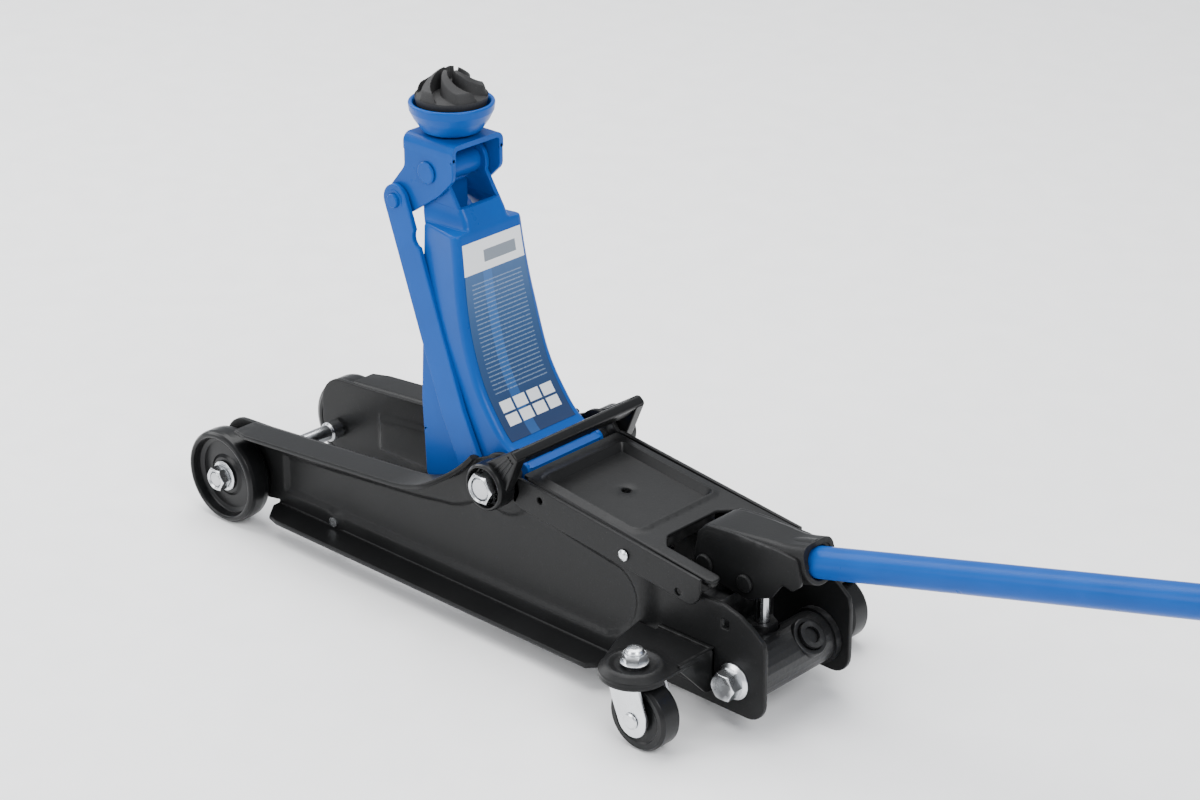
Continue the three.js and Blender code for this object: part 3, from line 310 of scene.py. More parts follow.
@dataclass(frozen=True)
class PressedSheet:
    """A sheet of steel cut to an outline, pressed to a height at each point, with soft edges.

    The outline lies in the surface's own X and Y. The outer face is at the height, and the
    inner face is one thickness behind it.
    """

    outline: np.ndarray
    thickness: float
    holes: tuple[np.ndarray, ...] = ()
    height: Callable[[np.ndarray], np.ndarray] | None = None
    creases: tuple[np.ndarray, ...] = ()
    spacing: float = 0.0
    edge: float = 0.6

    def _level(self, points: np.ndarray) -> np.ndarray:
        """Gives the outer face's height at each point, 0 on a flat sheet."""
        return np.zeros(len(points)) if self.height is None else self.height(points)

    def _inner_points(self, loops: list[np.ndarray]) -> np.ndarray:
        """Spreads points over the sheet, closer together along its creases.

        Args:
            loops: The outline and then the holes, each set in by the edge.

        Returns:
            The points that the sheet gets inside them.
        """
        if self.spacing <= 0:
            return np.zeros((0, 2))
        low, high = loops[0].min(0), loops[0].max(0)
        xs = np.arange(low[0], high[0], self.spacing)
        ys = np.arange(low[1], high[1], self.spacing)
        field_points = np.stack(np.meshgrid(xs, ys, indexing="ij"), -1).reshape(-1, 2)
        field_points[:, 0] += (np.round(field_points[:, 1] / self.spacing) % 2) * self.spacing / 2
        for crease in self.creases:
            gap = np.abs(inside_distance(field_points, crease) - 1.5)
            field_points = field_points[gap > 4.6]
        extra = [inset(spaced(crease, 2.4), d) for crease in self.creases for d in (-2, -0.5, 1, 2.5, 4)]
        points = np.vstack([field_points, *extra]) if extra else field_points
        keep = inside_distance(points, loops[0]) > 0.45 * min(self.spacing, 2.4)
        for hole in loops[1:]:
            keep &= inside_distance(points, hole) < -0.9
        return points[keep]

    def surface(self) -> Surface:
        """Works out both faces, joined round every edge by a rounded rim.

        Returns:
            The closed surface, with the outer face towards its own +Z.
        """
        step = self.spacing if self.spacing > 0 else 6.0
        rims = [spaced(np.asarray(self.outline, float), step)]
        rims += [np.asarray(hole, float) for hole in self.holes]
        signs = [1] + [-1] * len(self.holes)
        loops = [inset(rim, self.edge * sign) for rim, sign in zip(rims, signs)]
        inner = self._inner_points(loops)
        flat = np.vstack([*loops, inner])
        edges, base = [], 0
        for loop in loops:
            n = len(loop)
            edges += [(base + i, base + (i + 1) % n) for i in range(n)]
            base += n
        made = delaunay_2d_cdt([Vector(p) for p in flat], edges, [], 0, 1e-6)
        points = np.array([tuple(v) for v in made[0]])
        triangles = np.array([tuple(f) for f in made[2]])
        middle = points[triangles].mean(1)
        keep = inside_distance(middle, loops[0]) > 0
        for hole in loops[1:]:
            keep &= inside_distance(middle, hole) < 0
        triangles = triangles[keep]
        level = self._level(points)
        front = np.column_stack([points, level])
        back = np.column_stack([points, level - self.thickness])
        result = Surface(front, tuple(tuple(int(i) for i in t) for t in triangles))
        result = result.with_others(Surface(back, tuple(tuple(int(i) for i in t[::-1]) for t in triangles)))
        for rim, sign in zip(rims, signs):
            rows = []
            for angle in np.radians([0, 30, 60, 90]):
                ring = inset(rim, sign * self.edge * (1 - math.sin(angle)))
                rows.append(np.column_stack([ring, self._level(ring) - self.edge * (1 - math.cos(angle))]))
            for angle in np.radians([90, 60, 30, 0]):
                ring = inset(rim, sign * self.edge * (1 - math.sin(angle)))
                drop = self.thickness - self.edge * (1 - math.cos(angle))
                rows.append(np.column_stack([ring, self._level(ring) - drop]))
            result = result.with_others(grid(np.array(rows), close_v=True))
        return result


def cheek_pair(outline: np.ndarray, half: float, thickness: float, spacing: float) -> tuple[Surface, Surface]:
    """Cuts a left and a right cheek that join a bent sheet of the same thickness.

    Args:
        outline: The cheeks' outline in X and Z.
        half: How far the bent sheet's outer faces stand from the middle plane.
        thickness: The bent sheet's thickness. The cheeks are thinner by a face gap on both faces.
        spacing: Distance between the points spread over a cheek.

    Returns:
        The left cheek and the right one.
    """
    sheet = PressedSheet(outline, thickness - 2 * FACE_GAP, spacing=spacing).surface()
    return sheet.facing_left(half - FACE_GAP), sheet.facing_left(thickness - half - FACE_GAP)


def revolve(profile: Sequence[Sequence[float]], steps: int = 64, soft: float = 0.5) -> Surface:
    """Turns a closed profile about the Z axis.

    Args:
        profile: (radius, height) corners of the section. Corners on the axis stay sharp.
        steps: Pieces round the circle.
        soft: Radius given to the profile's corners.

    Returns:
        The turned surface.
    """
    pts = np.asarray(profile, float)
    rounded = fillet(pts, np.where(pts[:, 0] < 1e-6, 0.0, soft), 3)
    rounded = rounded[np.append(True, np.abs(np.diff(rounded, axis=0)).sum(1) > 1e-6)]
    angle = np.linspace(0, 2 * math.pi, steps, endpoint=False)
    ring = np.stack([
        rounded[:, None, 0] * np.cos(angle), rounded[:, None, 0] * np.sin(angle),
        np.broadcast_to(rounded[:, None, 1], (len(rounded), steps)),
    ], -1)
    return grid(ring, close_u=True, close_v=True)


def rectangle(width: float, depth: float, radius: float) -> np.ndarray:
    """Gives a rounded rectangle about the origin."""
    w, d = width / 2, depth / 2
    return fillet([(-w, -d), (w, -d), (w, d), (-w, d)], radius, 4)


def circle(x: float, y: float, radius: float, steps: int = 32) -> np.ndarray:
    """Gives points round a circle."""
    return arc_points(x, y, radius, 0, 360, steps)[:-1]


def sweep(sections: Sequence[np.ndarray] | np.ndarray, path: np.ndarray, side: Sequence[float]) -> Surface:
    """Carries a closed section along a path.

    Args:
        sections: One section, or one for each path point. Its first number is measured along
            side and its second square to both side and the path.
        path: The path's points.
        side: A direction that the section's first number keeps.

    Returns:
        The swept surface with filled ends.
    """
    path = np.asarray(path, float)
    if isinstance(sections, np.ndarray) and sections.ndim == 2:
        sections = [sections] * len(path)
    tangent = unit_tangents(path)
    s = np.asarray(side, float)
    s = s - tangent * (tangent @ s)[:, None]
    s /= np.linalg.norm(s, axis=1)[:, None]
    n = np.cross(tangent, s)
    rows = [p + sec[:, :1] * a + sec[:, 1:] * b for p, sec, a, b in zip(path, sections, s, n)]
    return grid(np.array(rows), close_v=True, cap=True)


def smooth_path(points: Sequence[Sequence[float]], steps: int = 8) -> np.ndarray:
    """Draws a smooth curve through points, each piece a cubic that leaves along its neighbours.

    Args:
        points: Points to pass through.
        steps: Pieces between two of them.

    Returns:
        The curve's points.
    """
    pts = np.asarray(points, float)
    before = np.vstack([pts[:1], pts[:-2]])
    after = np.vstack([pts[2:], pts[-1:]])
    t = np.linspace(0, 1, steps, endpoint=False)[:, None]
    out = []
    for p0, p1, p2, p3 in zip(before, pts[:-1], pts[1:], after):
        m1, m2 = (p2 - p0) / 2, (p3 - p1) / 2
        out.append((2 * t**3 - 3 * t**2 + 1) * p1 + (t**3 - 2 * t**2 + t) * m1
                   + (3 * t**2 - 2 * t**3) * p2 + (t**3 - t**2) * m2)
    return np.vstack([*out, pts[-1:]])


def hexagon_nut(across: float, bore: float, height: float, steps: int = 96) -> Surface:
    """Makes a hexagon nut or bolt head standing on its own XY plane.

    The flats are the hexagon's sides; each corner is cut back by a cone at 28 degrees, so the
    top meets the flats in six arcs. A bore of 0 gives a bolt head.

    Args:
        across: Distance across the flats.
        bore: Radius of the hole.
        height: Height of the nut.
        steps: Pieces round it.

    Returns:
        The surface.
    """
    angle = np.linspace(0, 2 * math.pi, steps, endpoint=False)
    fold = (angle + math.pi / 6) % (math.pi / 3) - math.pi / 6
    flat = across / 2 / np.cos(fold)
    slope = math.tan(math.radians(28))
    shoulder = height - np.maximum(flat - across / 2 * 0.94, 0) * slope
    rows = []

    def ring(radius: np.ndarray | float, z: np.ndarray | float) -> None:
        """Adds one ring of points at a radius and a height, each even or one for each angle."""
        r = np.broadcast_to(radius, steps)
        rows.append(np.column_stack([r * np.cos(angle), r * np.sin(angle), np.broadcast_to(z, steps)]))

    ring(max(bore, 0.01), 0)
    ring(across / 2 * 0.93, 0)
    ring(flat - 0.25, 0.0)
    ring(flat, 0.35)
    ring(flat, shoulder - 0.15)
    ring(flat - 0.12, shoulder)
    ring(across / 2 * 0.94, height)
    if bore > 0:
        ring(bore + 0.9, height)
        ring(bore, height - 0.8)
    else:
        ring(across / 2 * 0.5, height)
        ring(0.01, height)
    return grid(np.array(rows), close_u=True, close_v=True)


# --------------------------------------------------------------------------- finishes
Socket = bpy.types.NodeSocket
Color = tuple[float, float, float]
PATCH_SCALE, SPECK_SCALE, WEAR_SCALE = 38.0, 1450.0, 170.0


@dataclass(frozen=True)
class ShaderGraph:
    """One material's node tree, with short ways to add nodes to it."""

    tree: bpy.types.NodeTree

    def maths(self, operation: str, first: Socket | float, second: Socket | float = 0.0) -> Socket:
        """Adds a calculation on one or two values.

        Args:
            operation: The node's operation, such as MULTIPLY.
            first: A number or another node's output.
            second: The same, left out where the operation takes one value.

        Returns:
            The result.
        """
        node = self.tree.nodes.new("ShaderNodeMath")
        node.operation = operation
        for entry, value in zip(node.inputs, (first, second)):
            if isinstance(value, (int, float)):
                entry.default_value = value
            else:
                self.tree.links.new(value, entry)
        return node.outputs[0]

    def between(self, value: Socket, low: float, high: float) -> Socket:
        """Gives 1 where a value lies between two numbers, and 0 elsewhere."""
        above = self.maths("GREATER_THAN", value, low)
        return self.maths("MULTIPLY", above, self.maths("LESS_THAN", value, high))

    def noise(self, where: Socket, scale: float, detail: float) -> Socket:
        """Adds a noise pattern.

        Args:
            where: The coordinates that it is read at.
            scale: How fine it is.
            detail: How many finer layers it has.

        Returns:
            Its value, from 0 to 1.
        """
        node = self.tree.nodes.new("ShaderNodeTexNoise")
        node.inputs["Scale"].default_value = scale
        node.inputs["Detail"].default_value = detail
        self.tree.links.new(where, node.inputs["Vector"])
        return node.outputs["Fac"]

    def stretched(self, where: Socket, scale: Color) -> Socket:
        """Scales coordinates by a factor along each axis.

        Args:
            where: The coordinates.
            scale: The factor along each axis.

        Returns:
            The scaled coordinates.
        """
        node = self.tree.nodes.new("ShaderNodeMapping")
        node.inputs["Scale"].default_value = scale
        self.tree.links.new(where, node.inputs["Vector"])
        return node.outputs["Vector"]

    def ranged(self, value: Socket, low: float, high: float, to_low: float, to_high: float) -> Socket:
        """Carries one range of values over to another in a straight line.

        Args:
            value: The value to carry over.
            low: Lower end of its range.
            high: Upper end of its range.
            to_low: What the lower end becomes.
            to_high: What the upper end becomes.

        Returns:
            The new value, held between the new ends.
        """
        node = self.tree.nodes.new("ShaderNodeMapRange")
        for key, number in (("From Min", low), ("From Max", high), ("To Min", to_low), ("To Max", to_high)):
            node.inputs[key].default_value = number
        self.tree.links.new(value, node.inputs["Value"])
        return node.outputs["Result"]

    def mixed(self, factor: Socket, first: Socket | Color, second: Socket | Color) -> Socket:
        """Mixes two colours.

        Args:
            factor: 0 for the first colour, 1 for the second.
            first: A colour or another node's output.
            second: The same.

        Returns:
            The mixed colour.
        """
        node = self.tree.nodes.new("ShaderNodeMix")
        node.data_type = "RGBA"
        self.tree.links.new(factor, node.inputs["Factor"])
        for key, value in (("A", first), ("B", second)):
            entry = [socket for socket in node.inputs if socket.name == key and socket.type == "RGBA"][0]
            if isinstance(value, tuple):
                entry.default_value = (*value, 1.0)
            else:
                self.tree.links.new(value, entry)
        return [socket for socket in node.outputs if socket.type == "RGBA"][0]


@dataclass(frozen=True)
class Finish:
    """A material's look, built as shader nodes in the object's own coordinates."""

    name: str
    color: Color
    roughness: float
    metallic: float = 0.0
    coat: float = 0.0
    grain: float = 600.0
    grain_height: float = 0.0
    patch: float = 0.08
    specks: float = 0.0
    speck_color: Color = (0.4, 0.4, 0.4)
    wear: float = 0.0
    wear_color: Color = (0.5, 0.5, 0.5)
    specular: float = 0.5
    stretch: Color = (1.0, 1.0, 1.0)

    def material(self) -> bpy.types.Material:
        """Makes the material, or finds the one already made.

        Colour and roughness drift in soft patches, a fine grain gives the bump, small specks
        scatter over it, and the wear colour shows where the surface is sharply convex.

        Returns:
            The material.
        """
        if self.name in bpy.data.materials:
            return bpy.data.materials[self.name]
        mat = bpy.data.materials.new(self.name)
        mat.use_nodes = True
        tree = mat.node_tree
        tree.nodes.clear()
        graph = ShaderGraph(tree)
        out = tree.nodes.new("ShaderNodeOutputMaterial")
        shader = tree.nodes.new("ShaderNodeBsdfPrincipled")
        tree.links.new(shader.outputs["BSDF"], out.inputs["Surface"])
        where = tree.nodes.new("ShaderNodeTexCoord").outputs["Object"]
        shader.inputs["Metallic"].default_value = self.metallic
        shader.inputs["Coat Weight"].default_value = self.coat
        shader.inputs["Coat Roughness"].default_value = 0.12
        shader.inputs["Specular IOR Level"].default_value = self.specular

        patches = graph.noise(where, PATCH_SCALE, 4.0)
        darker = tuple(c * (1 - self.patch) for c in self.color)
        lighter = tuple(min(1.0, c * (1 + self.patch)) for c in self.color)
        color = graph.mixed(graph.ranged(patches, 0.35, 0.65, 0, 1), darker, lighter)
        rough = graph.ranged(patches, 0.3, 0.7, self.roughness * 0.9, self.roughness * 1.12)
        if self.specks > 0:
            specks = graph.noise(where, SPECK_SCALE, 2.0)
            dots = graph.ranged(specks, 0.70 - self.specks * 0.08, 0.78, 0, 0.6)
            color = graph.mixed(dots, color, self.speck_color)
        if self.wear > 0:
            point = tree.nodes.new("ShaderNodeNewGeometry").outputs["Pointiness"]
            edge = graph.ranged(point, 0.54, 0.60, 0, self.wear)
            gaps = graph.ranged(graph.noise(where, WEAR_SCALE, 5.0), 0.42, 0.62, 0, 1)
            color = graph.mixed(graph.maths("MULTIPLY", edge, gaps), color, self.wear_color)
        tree.links.new(color, shader.inputs["Base Color"])
        tree.links.new(rough, shader.inputs["Roughness"])
        if self.grain_height > 0:
            bump = tree.nodes.new("ShaderNodeBump")
            bump.inputs["Strength"].default_value = 1.0
            bump.inputs["Distance"].default_value = self.grain_height * MM
            grain = graph.noise(graph.stretched(where, self.stretch), self.grain, 3.0)
            tree.links.new(grain, bump.inputs["Height"])
            tree.links.new(bump.outputs["Normal"], shader.inputs["Normal"])
        return mat


class Look(Enum):
    """The finishes that the jack's pieces wear."""

    POWDER = Finish("black_powder_coat", (0.0085, 0.0087, 0.009), 0.38, 0.0, 0.0, 900, 0.05, 0.10,
                    0.3, (0.05, 0.05, 0.05), 0.25, (0.07, 0.07, 0.07), 0.17)
    BLUE = Finish("blue_enamel", (0.0, 0.060, 0.29), 0.3, 0.0, 0.0, 260, 0.04, 0.05,
                  0.0, (0.4, 0.4, 0.4), 0.15, (0.0, 0.09, 0.36), 0.14)
    ZINC = Finish("bright_zinc", (0.66, 0.675, 0.69), 0.27, 1.0, 0.0, 700, 0.02, 0.12,
                  0.35, (0.35, 0.36, 0.38), 0.0)
    STEEL = Finish("ground_steel", (0.50, 0.51, 0.525), 0.24, 1.0, 0.0, 420, 0.015, 0.14,
                   0.3, (0.22, 0.21, 0.2), 0.0, stretch=(6.0, 0.4, 6.0))
    CAST = Finish("painted_casting", (0.006, 0.0062, 0.0068), 0.4, 0.0, 0.0, 420, 0.16, 0.18,
                  0.4, (0.07, 0.07, 0.07), 0.2, (0.12, 0.12, 0.12), 0.4)
    NYLON = Finish("black_nylon", (0.006, 0.0062, 0.0066), 0.3, 0.0, 0.0, 1300, 0.02, 0.12,
                   0.25, (0.05, 0.05, 0.05), 0.1, (0.05, 0.05, 0.05), 0.24)
    RUBBER = Finish("moulded_rubber", (0.016, 0.016, 0.0165), 0.62, 0.0, 0.0, 700, 0.07, 0.2,
                    0.5, (0.08, 0.08, 0.08), 0.15, (0.07, 0.07, 0.07), 0.35)


@dataclass(frozen=True)
class LabelFilm:
    """A plain printed film: a pale heading band, grey text-like bars and two rows of blank tiles."""

    name: str = "printed_film"
    lines: float = 46.0
    tiles_across: float = 4.75
    tiles_up: float = 14.0

    def material(self) -> bpy.types.Material:
        """Makes the film's material from its own 0 to 1 coordinates across and up.

        Returns:
            The material.
        """
        if self.name in bpy.data.materials:
            return bpy.data.materials[self.name]
        mat = bpy.data.materials.new(self.name)
        mat.use_nodes = True
        tree = mat.node_tree
        graph = ShaderGraph(tree)
        shader = tree.nodes["Principled BSDF"]
        shader.inputs["Roughness"].default_value = 0.22
        shader.inputs["Coat Weight"].default_value = 0.1
        uv = tree.nodes.new("ShaderNodeUVMap")
        uv.uv_map = "film"
        split = tree.nodes.new("ShaderNodeSeparateXYZ")
        tree.links.new(uv.outputs["UV"], split.inputs["Vector"])
        across, up = split.outputs["X"], split.outputs["Y"]

        # Painted shade: the film's blue ground is darker towards its lower end and lighter towards its top.
        ground = graph.mixed(graph.ranged(up, 0, 1, 0, 1), (0.006, 0.022, 0.075), (0.018, 0.085, 0.23))
        sheen = graph.maths("MULTIPLY", graph.between(across, 0.56, 0.70), 0.35)
        color = graph.mixed(sheen, ground, (0.02, 0.14, 0.45))
        bars = self.bars(graph, uv.outputs["UV"], across, up)
        color = graph.mixed(graph.maths("MULTIPLY", bars, 0.5), color, (0.26, 0.36, 0.5))
        color = graph.mixed(graph.between(up, 0.845, 1.1), color, (0.74, 0.76, 0.78))
        block = graph.maths("MULTIPLY", graph.between(up, 0.885, 0.945), graph.between(across, 0.12, 0.66))
        color = graph.mixed(block, color, (0.16, 0.19, 0.23))
        color = graph.mixed(self.tiles(graph, across, up), color, (0.70, 0.73, 0.76))
        tree.links.new(color, shader.inputs["Base Color"])
        return mat

    def bars(self, graph: ShaderGraph, where: Socket, across: Socket, up: Socket) -> Socket:
        """Draws the bars: even lines, broken at random into words.

        Args:
            graph: The material's nodes.
            where: Both coordinates of the film.
            across: The coordinate across it.
            up: The coordinate up it.

        Returns:
            1 on a bar and 0 elsewhere.
        """
        line = graph.maths("FRACT", graph.maths("MULTIPLY", up, self.lines))
        noise = graph.noise(graph.stretched(where, (2.2, self.lines, 1.0)), 17.0, 2.0)
        words = graph.maths("GREATER_THAN", noise, 0.45)
        bars = graph.maths("MULTIPLY", graph.between(line, 0.30, 0.58), words)
        bars = graph.maths("MULTIPLY", bars, graph.between(across, 0.09, 0.90))
        return graph.maths("MULTIPLY", bars, graph.between(up, 0.24, 0.80))

    def tiles(self, graph: ShaderGraph, across: Socket, up: Socket) -> Socket:
        """Draws the blank tiles, in rows of four.

        Args:
            graph: The material's nodes.
            across: The coordinate across the film.
            up: The coordinate up it.

        Returns:
            1 on a tile and 0 elsewhere.
        """
        column = graph.maths("MULTIPLY", graph.maths("SUBTRACT", across, 0.08), self.tiles_across)
        row = graph.maths("MULTIPLY", graph.maths("SUBTRACT", up, 0.07), self.tiles_up)
        in_column = graph.between(graph.maths("FRACT", column), 0.06, 0.9)
        in_row = graph.between(graph.maths("FRACT", row), 0.08, 0.9)
        tiles = graph.maths("MULTIPLY", in_column, in_row)
        tiles = graph.maths("MULTIPLY", tiles, graph.between(up, 0.07, 0.213))
        return graph.maths("MULTIPLY", tiles, graph.between(across, 0.08, 0.92))


# --------------------------------------------------------------------------- making pieces
@dataclass
class Workshop:
    """Turns surfaces into scene pieces that ride on the frame's bodies."""

    made: list[str] = field(default_factory=list)

    def piece(
        self, name: str, surface: Surface, look: Look | LabelFilm, body: str,
        stands_for: Sequence[str] = (), film: np.ndarray | None = None, sharp: float = 38.0,
    ) -> bpy.types.Object:
        """Makes one piece.

        Args:
            name: The piece's name.
            surface: Its surface, in millimetres from the main pivot line.
            look: The finish that it wears.
            body: The frame body that it moves with.
            stands_for: Solids that it replaces.
            film: Coordinates across and up a printed film, one pair for each point.
            sharp: Angle in degrees above which an edge stays sharp.

        Returns:
            The new object.
        """
        mesh = bpy.data.meshes.new(name)
        mesh.from_pydata(surface.points * MM + ORIGIN, [], surface.faces)
        if film is not None:
            layer = mesh.uv_layers.new(name="film")
            corners = np.zeros(len(mesh.loops), np.int32)
            mesh.loops.foreach_get("vertex_index", corners)
            layer.data.foreach_set("uv", film[corners].astype(np.float32).ravel())
        work = bmesh.new()
        work.from_mesh(mesh)
        bmesh.ops.remove_doubles(work, verts=work.verts, dist=2e-6)
        bmesh.ops.dissolve_degenerate(work, edges=work.edges, dist=1e-7)
        bmesh.ops.recalc_face_normals(work, faces=work.faces)
        work.to_mesh(mesh)
        work.free()
        mesh.polygons.foreach_set("use_smooth", np.ones(len(mesh.polygons), bool))
        mesh.set_sharp_from_angle(angle=math.radians(sharp))
        mesh.materials.append((look.value if isinstance(look, Look) else look).material())
        obj = bpy.data.objects.new(name, mesh)
        bpy.context.scene.collection.objects.link(obj)
        weighted = obj.modifiers.new("even_shading", "WEIGHTED_NORMAL")
        weighted.keep_sharp = True
        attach(obj, body)
        if stands_for:
            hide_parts(*stands_for)
        self.made.append(name)
        return obj

    def coil(
        self, name: str, surface: Surface, side: Side,
    ) -> bpy.types.Object:
        """Makes a return spring that stretches between the frame and the ram's crosshead.

        Args:
            name: The piece's name.
            surface: The wound wire.
            side: Which of the two springs it is.

        Returns:
            The new object.
        """
        mesh = bpy.data.meshes.new(name)
        mesh.from_pydata(surface.points * MM + ORIGIN, [], surface.faces)
        mesh.polygons.foreach_set("use_smooth", np.ones(len(mesh.polygons), bool))
        mesh.materials.append(Look.ZINC.value.material())
        obj = bpy.data.objects.new(name, mesh)
        bpy.context.scene.collection.objects.link(obj)
        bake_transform(obj)
        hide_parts(side.named("return_spring"))
        self.made.append(name)
        return obj

    def dress(self, look: Look, *nodes: str) -> None:
        """Gives solids that stay in view their finish."""
        for node in nodes:
            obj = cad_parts[node]
            obj.data.materials.clear()
            obj.data.materials.append(look.value.material())


# --------------------------------------------------------------------------- sub-assemblies
@dataclass
class SideFrames:
    """The two pressed side plates with their flanges, panels and stepped rear lobes."""

    outer_y: float = 39.8
    thickness: float = 3.0
    panel_depth: float = 2.0
    lobe_step: float = 3.6
    flange_y: float = 57.8
    lower_z: float = 12.9

    def flange_path(self) -> np.ndarray:
        """Gives the top flange's line: level in front, then up to the main pivot in a curve.

        Returns:
            Points (x, z) from the front to the pivot.
        """
        t = np.linspace(0, 1, 19)[:, None]
        rise = (1 - t) ** 2 * np.array([72, 74.5]) + 2 * t * (1 - t) * np.array([38, 77.5])
        rise = rise + t**2 * np.array([22, 100.5])
        front = np.linspace([204.5, 62.3], [72, 74.5], 12)[:-1]
        return np.vstack([front, rise])

    def panel(self) -> np.ndarray:
        """Gives the outline of the panel that is drawn inwards.

        Returns:
            The closed outline (x, z).
        """
        corners = [(180.9, 24.5), (180.9, 49.5), (70, 61), (38, 66), (20, 74)]
        around = arc_points(0, PIVOT_Z, 19, -40, -150, 8)
        rear = arc_points(-79.7, 52, 20, 90, 180, 8)
        tail = [(-98.5, 45), (-94, 36), (-87, 29.5), (-78, 25.2)]
        return np.vstack([corners, around, [(-50, 76.6)], rear, tail])

    def outline(self) -> np.ndarray:
        """Gives the plate's own outline, from the front corner round to the rear lobe.

        Returns:
            The closed outline (x, z).
        """
        front = [(182, 13.4), (185.5, 17.5)]
        nose = np.vstack([arc_points(214, 30, 17.5, -90, 0, 6), arc_points(213, 42.5, 18.5, 0, 90, 7)])
        top = self.flange_path()[1:-1] - [0, 1.2]
        boss = arc_points(0, PIVOT_Z, 15, 42, 150, 12)
        rear = [(-17, 85.0), (-112, 72.6), (-141, 71.6), (-155, 71.2), (-166, 68.2), (-175, 63.2),
            (-182, 57.5)]
        lobe = np.vstack([[(-183.5, 51)], arc_points(-172.5, 22, 11, 180, 270, 6)])
        return np.vstack([front, nose, top, boss, rear, lobe, [(-96, 11.2), (-86, 13.4)]])

    def height(self, points: np.ndarray) -> np.ndarray:
        """Gives the outer face's height over its flat: panel in, boss out, lobe stepped in.

        Args:
            points: Places (x, z) on the plate.

        Returns:
            Millimetres outwards from the flat at each place.
        """
        x, z = points[:, 0], points[:, 1]
        level = -self.panel_depth * smoothstep(inside_distance(points, self.panel()), 0.2, 3.4)
        level -= self.lobe_step * smoothstep(-x, 101.5, 111.5)
        boss = np.hypot(x, z - PIVOT_Z)
        level += 1.8 * (1 - smoothstep(boss, 15.2, 18.0)) * (z < PIVOT_Z + 6)
        rod = np.hypot(x - 137, z - 20)
        level += 0.9 * (1 - smoothstep(rod, 4.4, 7.5))
        mark = np.hypot(x - 22.5, z - 72)
        level += 0.35 * (smoothstep(mark, 6.2, 6.9) - smoothstep(mark, 7.3, 8.0))
        dimple = np.hypot(x + 149.5, z - 60.5)
        return level - 1.1 * (1 - smoothstep(dimple, 0.8, 2.8))

    def web(self) -> Surface:
        """Presses the upright plate itself.

        Returns:
            The left plate's web.
        """
        holes = (
            fillet([(-153.9, 57.8), (-153.9, 62.8), (-158.9, 62.8), (-158.9, 57.8)], 0.7, 2),
            circle(-163, 29.7, 5.3, 24),
        )
        sheet = PressedSheet(self.outline(), self.thickness, holes, self.height, (self.panel(),), 3.6, 0.7)
        return sheet.surface().facing_left(self.outer_y)

    def top_flange(self) -> Surface:
        """Bends the top edge outwards along its curve, narrowing to the pivot's boss.

        Returns:
            The left flange.
        """
        path = self.flange_path()
        x = path[:, 0]
        reach = self.flange_y - self.outer_y
        width = reach * np.where(x < 46, 0.10 + 0.90 * smoothstep(x, 19, 46), 1.0)
        width = width * (1 - 0.16 * smoothstep(x, 196, 204.5))
        t = self.thickness
        tangent = unit_tangents(path)
        up = np.column_stack([tangent[:, 1], -tangent[:, 0]])
        up *= np.sign(up[:, 1])[:, None]
        rows = []
        for point, normal, w in zip(path, up, width):
            bend = np.radians(np.linspace(180, 90, 6))
            outer = np.column_stack([4.2 + 4.05 * np.cos(bend), -4.2 + 4.2 * np.sin(bend)])
            inner_bend = np.radians(np.linspace(90, 180, 5))
            inner = np.column_stack([4.2 + 1.4 * np.cos(inner_bend), -4.2 + 1.4 * np.sin(inner_bend)])
            edge = np.radians(np.linspace(90, -90, 7))
            rim_y = max(w + t, 5.2) + 0.8 * np.cos(edge)
            rim = np.column_stack([rim_y, -t / 2 + (t / 2) * np.sin(edge)])
            # The fold: down the plate's back, round the bend's outside, out to the lip and back.
            section = np.vstack([[(0.15, -7)], outer, rim, inner, [(2.8, -7)]])
            rows.append(np.column_stack([
                point[0] + normal[0] * section[:, 1], self.outer_y - t + section[:, 0],
                point[1] + normal[1] * section[:, 1],
            ]))
        return grid(np.array(rows), close_v=True, cap=True)

    def lower_flange(self) -> Surface:
        """Bends the bottom edge outwards in a straight line, its front corner cut at an angle.

        Returns:
            The left flange.
        """
        x = np.linspace(-86, 185.5, 34)
        t, z0 = self.thickness, self.lower_z
        rows = []
        for place in x:
            w = (self.flange_y - self.outer_y + t) * (1 - 0.6 * smoothstep(place, 174, 186))
            w = w - 9 * (1 - smoothstep(place, -86, -79))
            bend = np.radians(np.linspace(180, 270, 6))
            outer = np.column_stack([4.4 + 4.25 * np.cos(bend), 4.4 + 4.4 * np.sin(bend)])
            inner_bend = np.radians(np.linspace(270, 180, 5))
            inner = np.column_stack([4.4 + 1.55 * np.cos(inner_bend), 4.4 + 1.4 * np.sin(inner_bend)])
            edge = np.radians(np.linspace(-90, 90, 7))
            rim = np.column_stack([w + 0.7 * np.cos(edge) - 0.7, t / 2 + (t / 2) * np.sin(edge)])
            section = np.vstack([[(0.15, 9)], outer, rim, inner, [(2.85, 9)]])
            rows.append(np.column_stack([
                np.full(len(section), place), self.outer_y - t + section[:, 0], z0 + section[:, 1],
            ]))
        return grid(np.array(rows), close_v=True, cap=True)

    def strip(self) -> Surface:
        """Lays the strip that covers the cover's skirt, with its holes and rounded tab.

        Returns:
            The left strip.
        """
        def cover(x: float) -> float:
            """Gives the cover's height at x."""
            return 99 + math.tan(math.radians(6.83)) * (x + 13.5)
        upper = [(-11, cover(-13.5) - 1), (-15.6, cover(-15.6) - 0.2)]
        lower = [(-122, cover(-122) - 17.5), (-16, cover(-16) - 18)]
        tab = arc_points(-134.5, cover(-134.5) - 9.2, 8.8, 180, 268, 6)
        outline = np.vstack([upper, [(-143.2, cover(-143.2) - 0.2)], tab, lower, [(-10, 83)]])
        holes = (circle(-29.8, 90.2, 1.9, 18), circle(-128.6, 71.2, 2.0, 18), circle(-91.2, 79.6, 2.3, 20))
        sheet = PressedSheet(outline, 2.2, holes, None, (), 9.0, 0.6)
        return sheet.surface().facing_left(41.6)

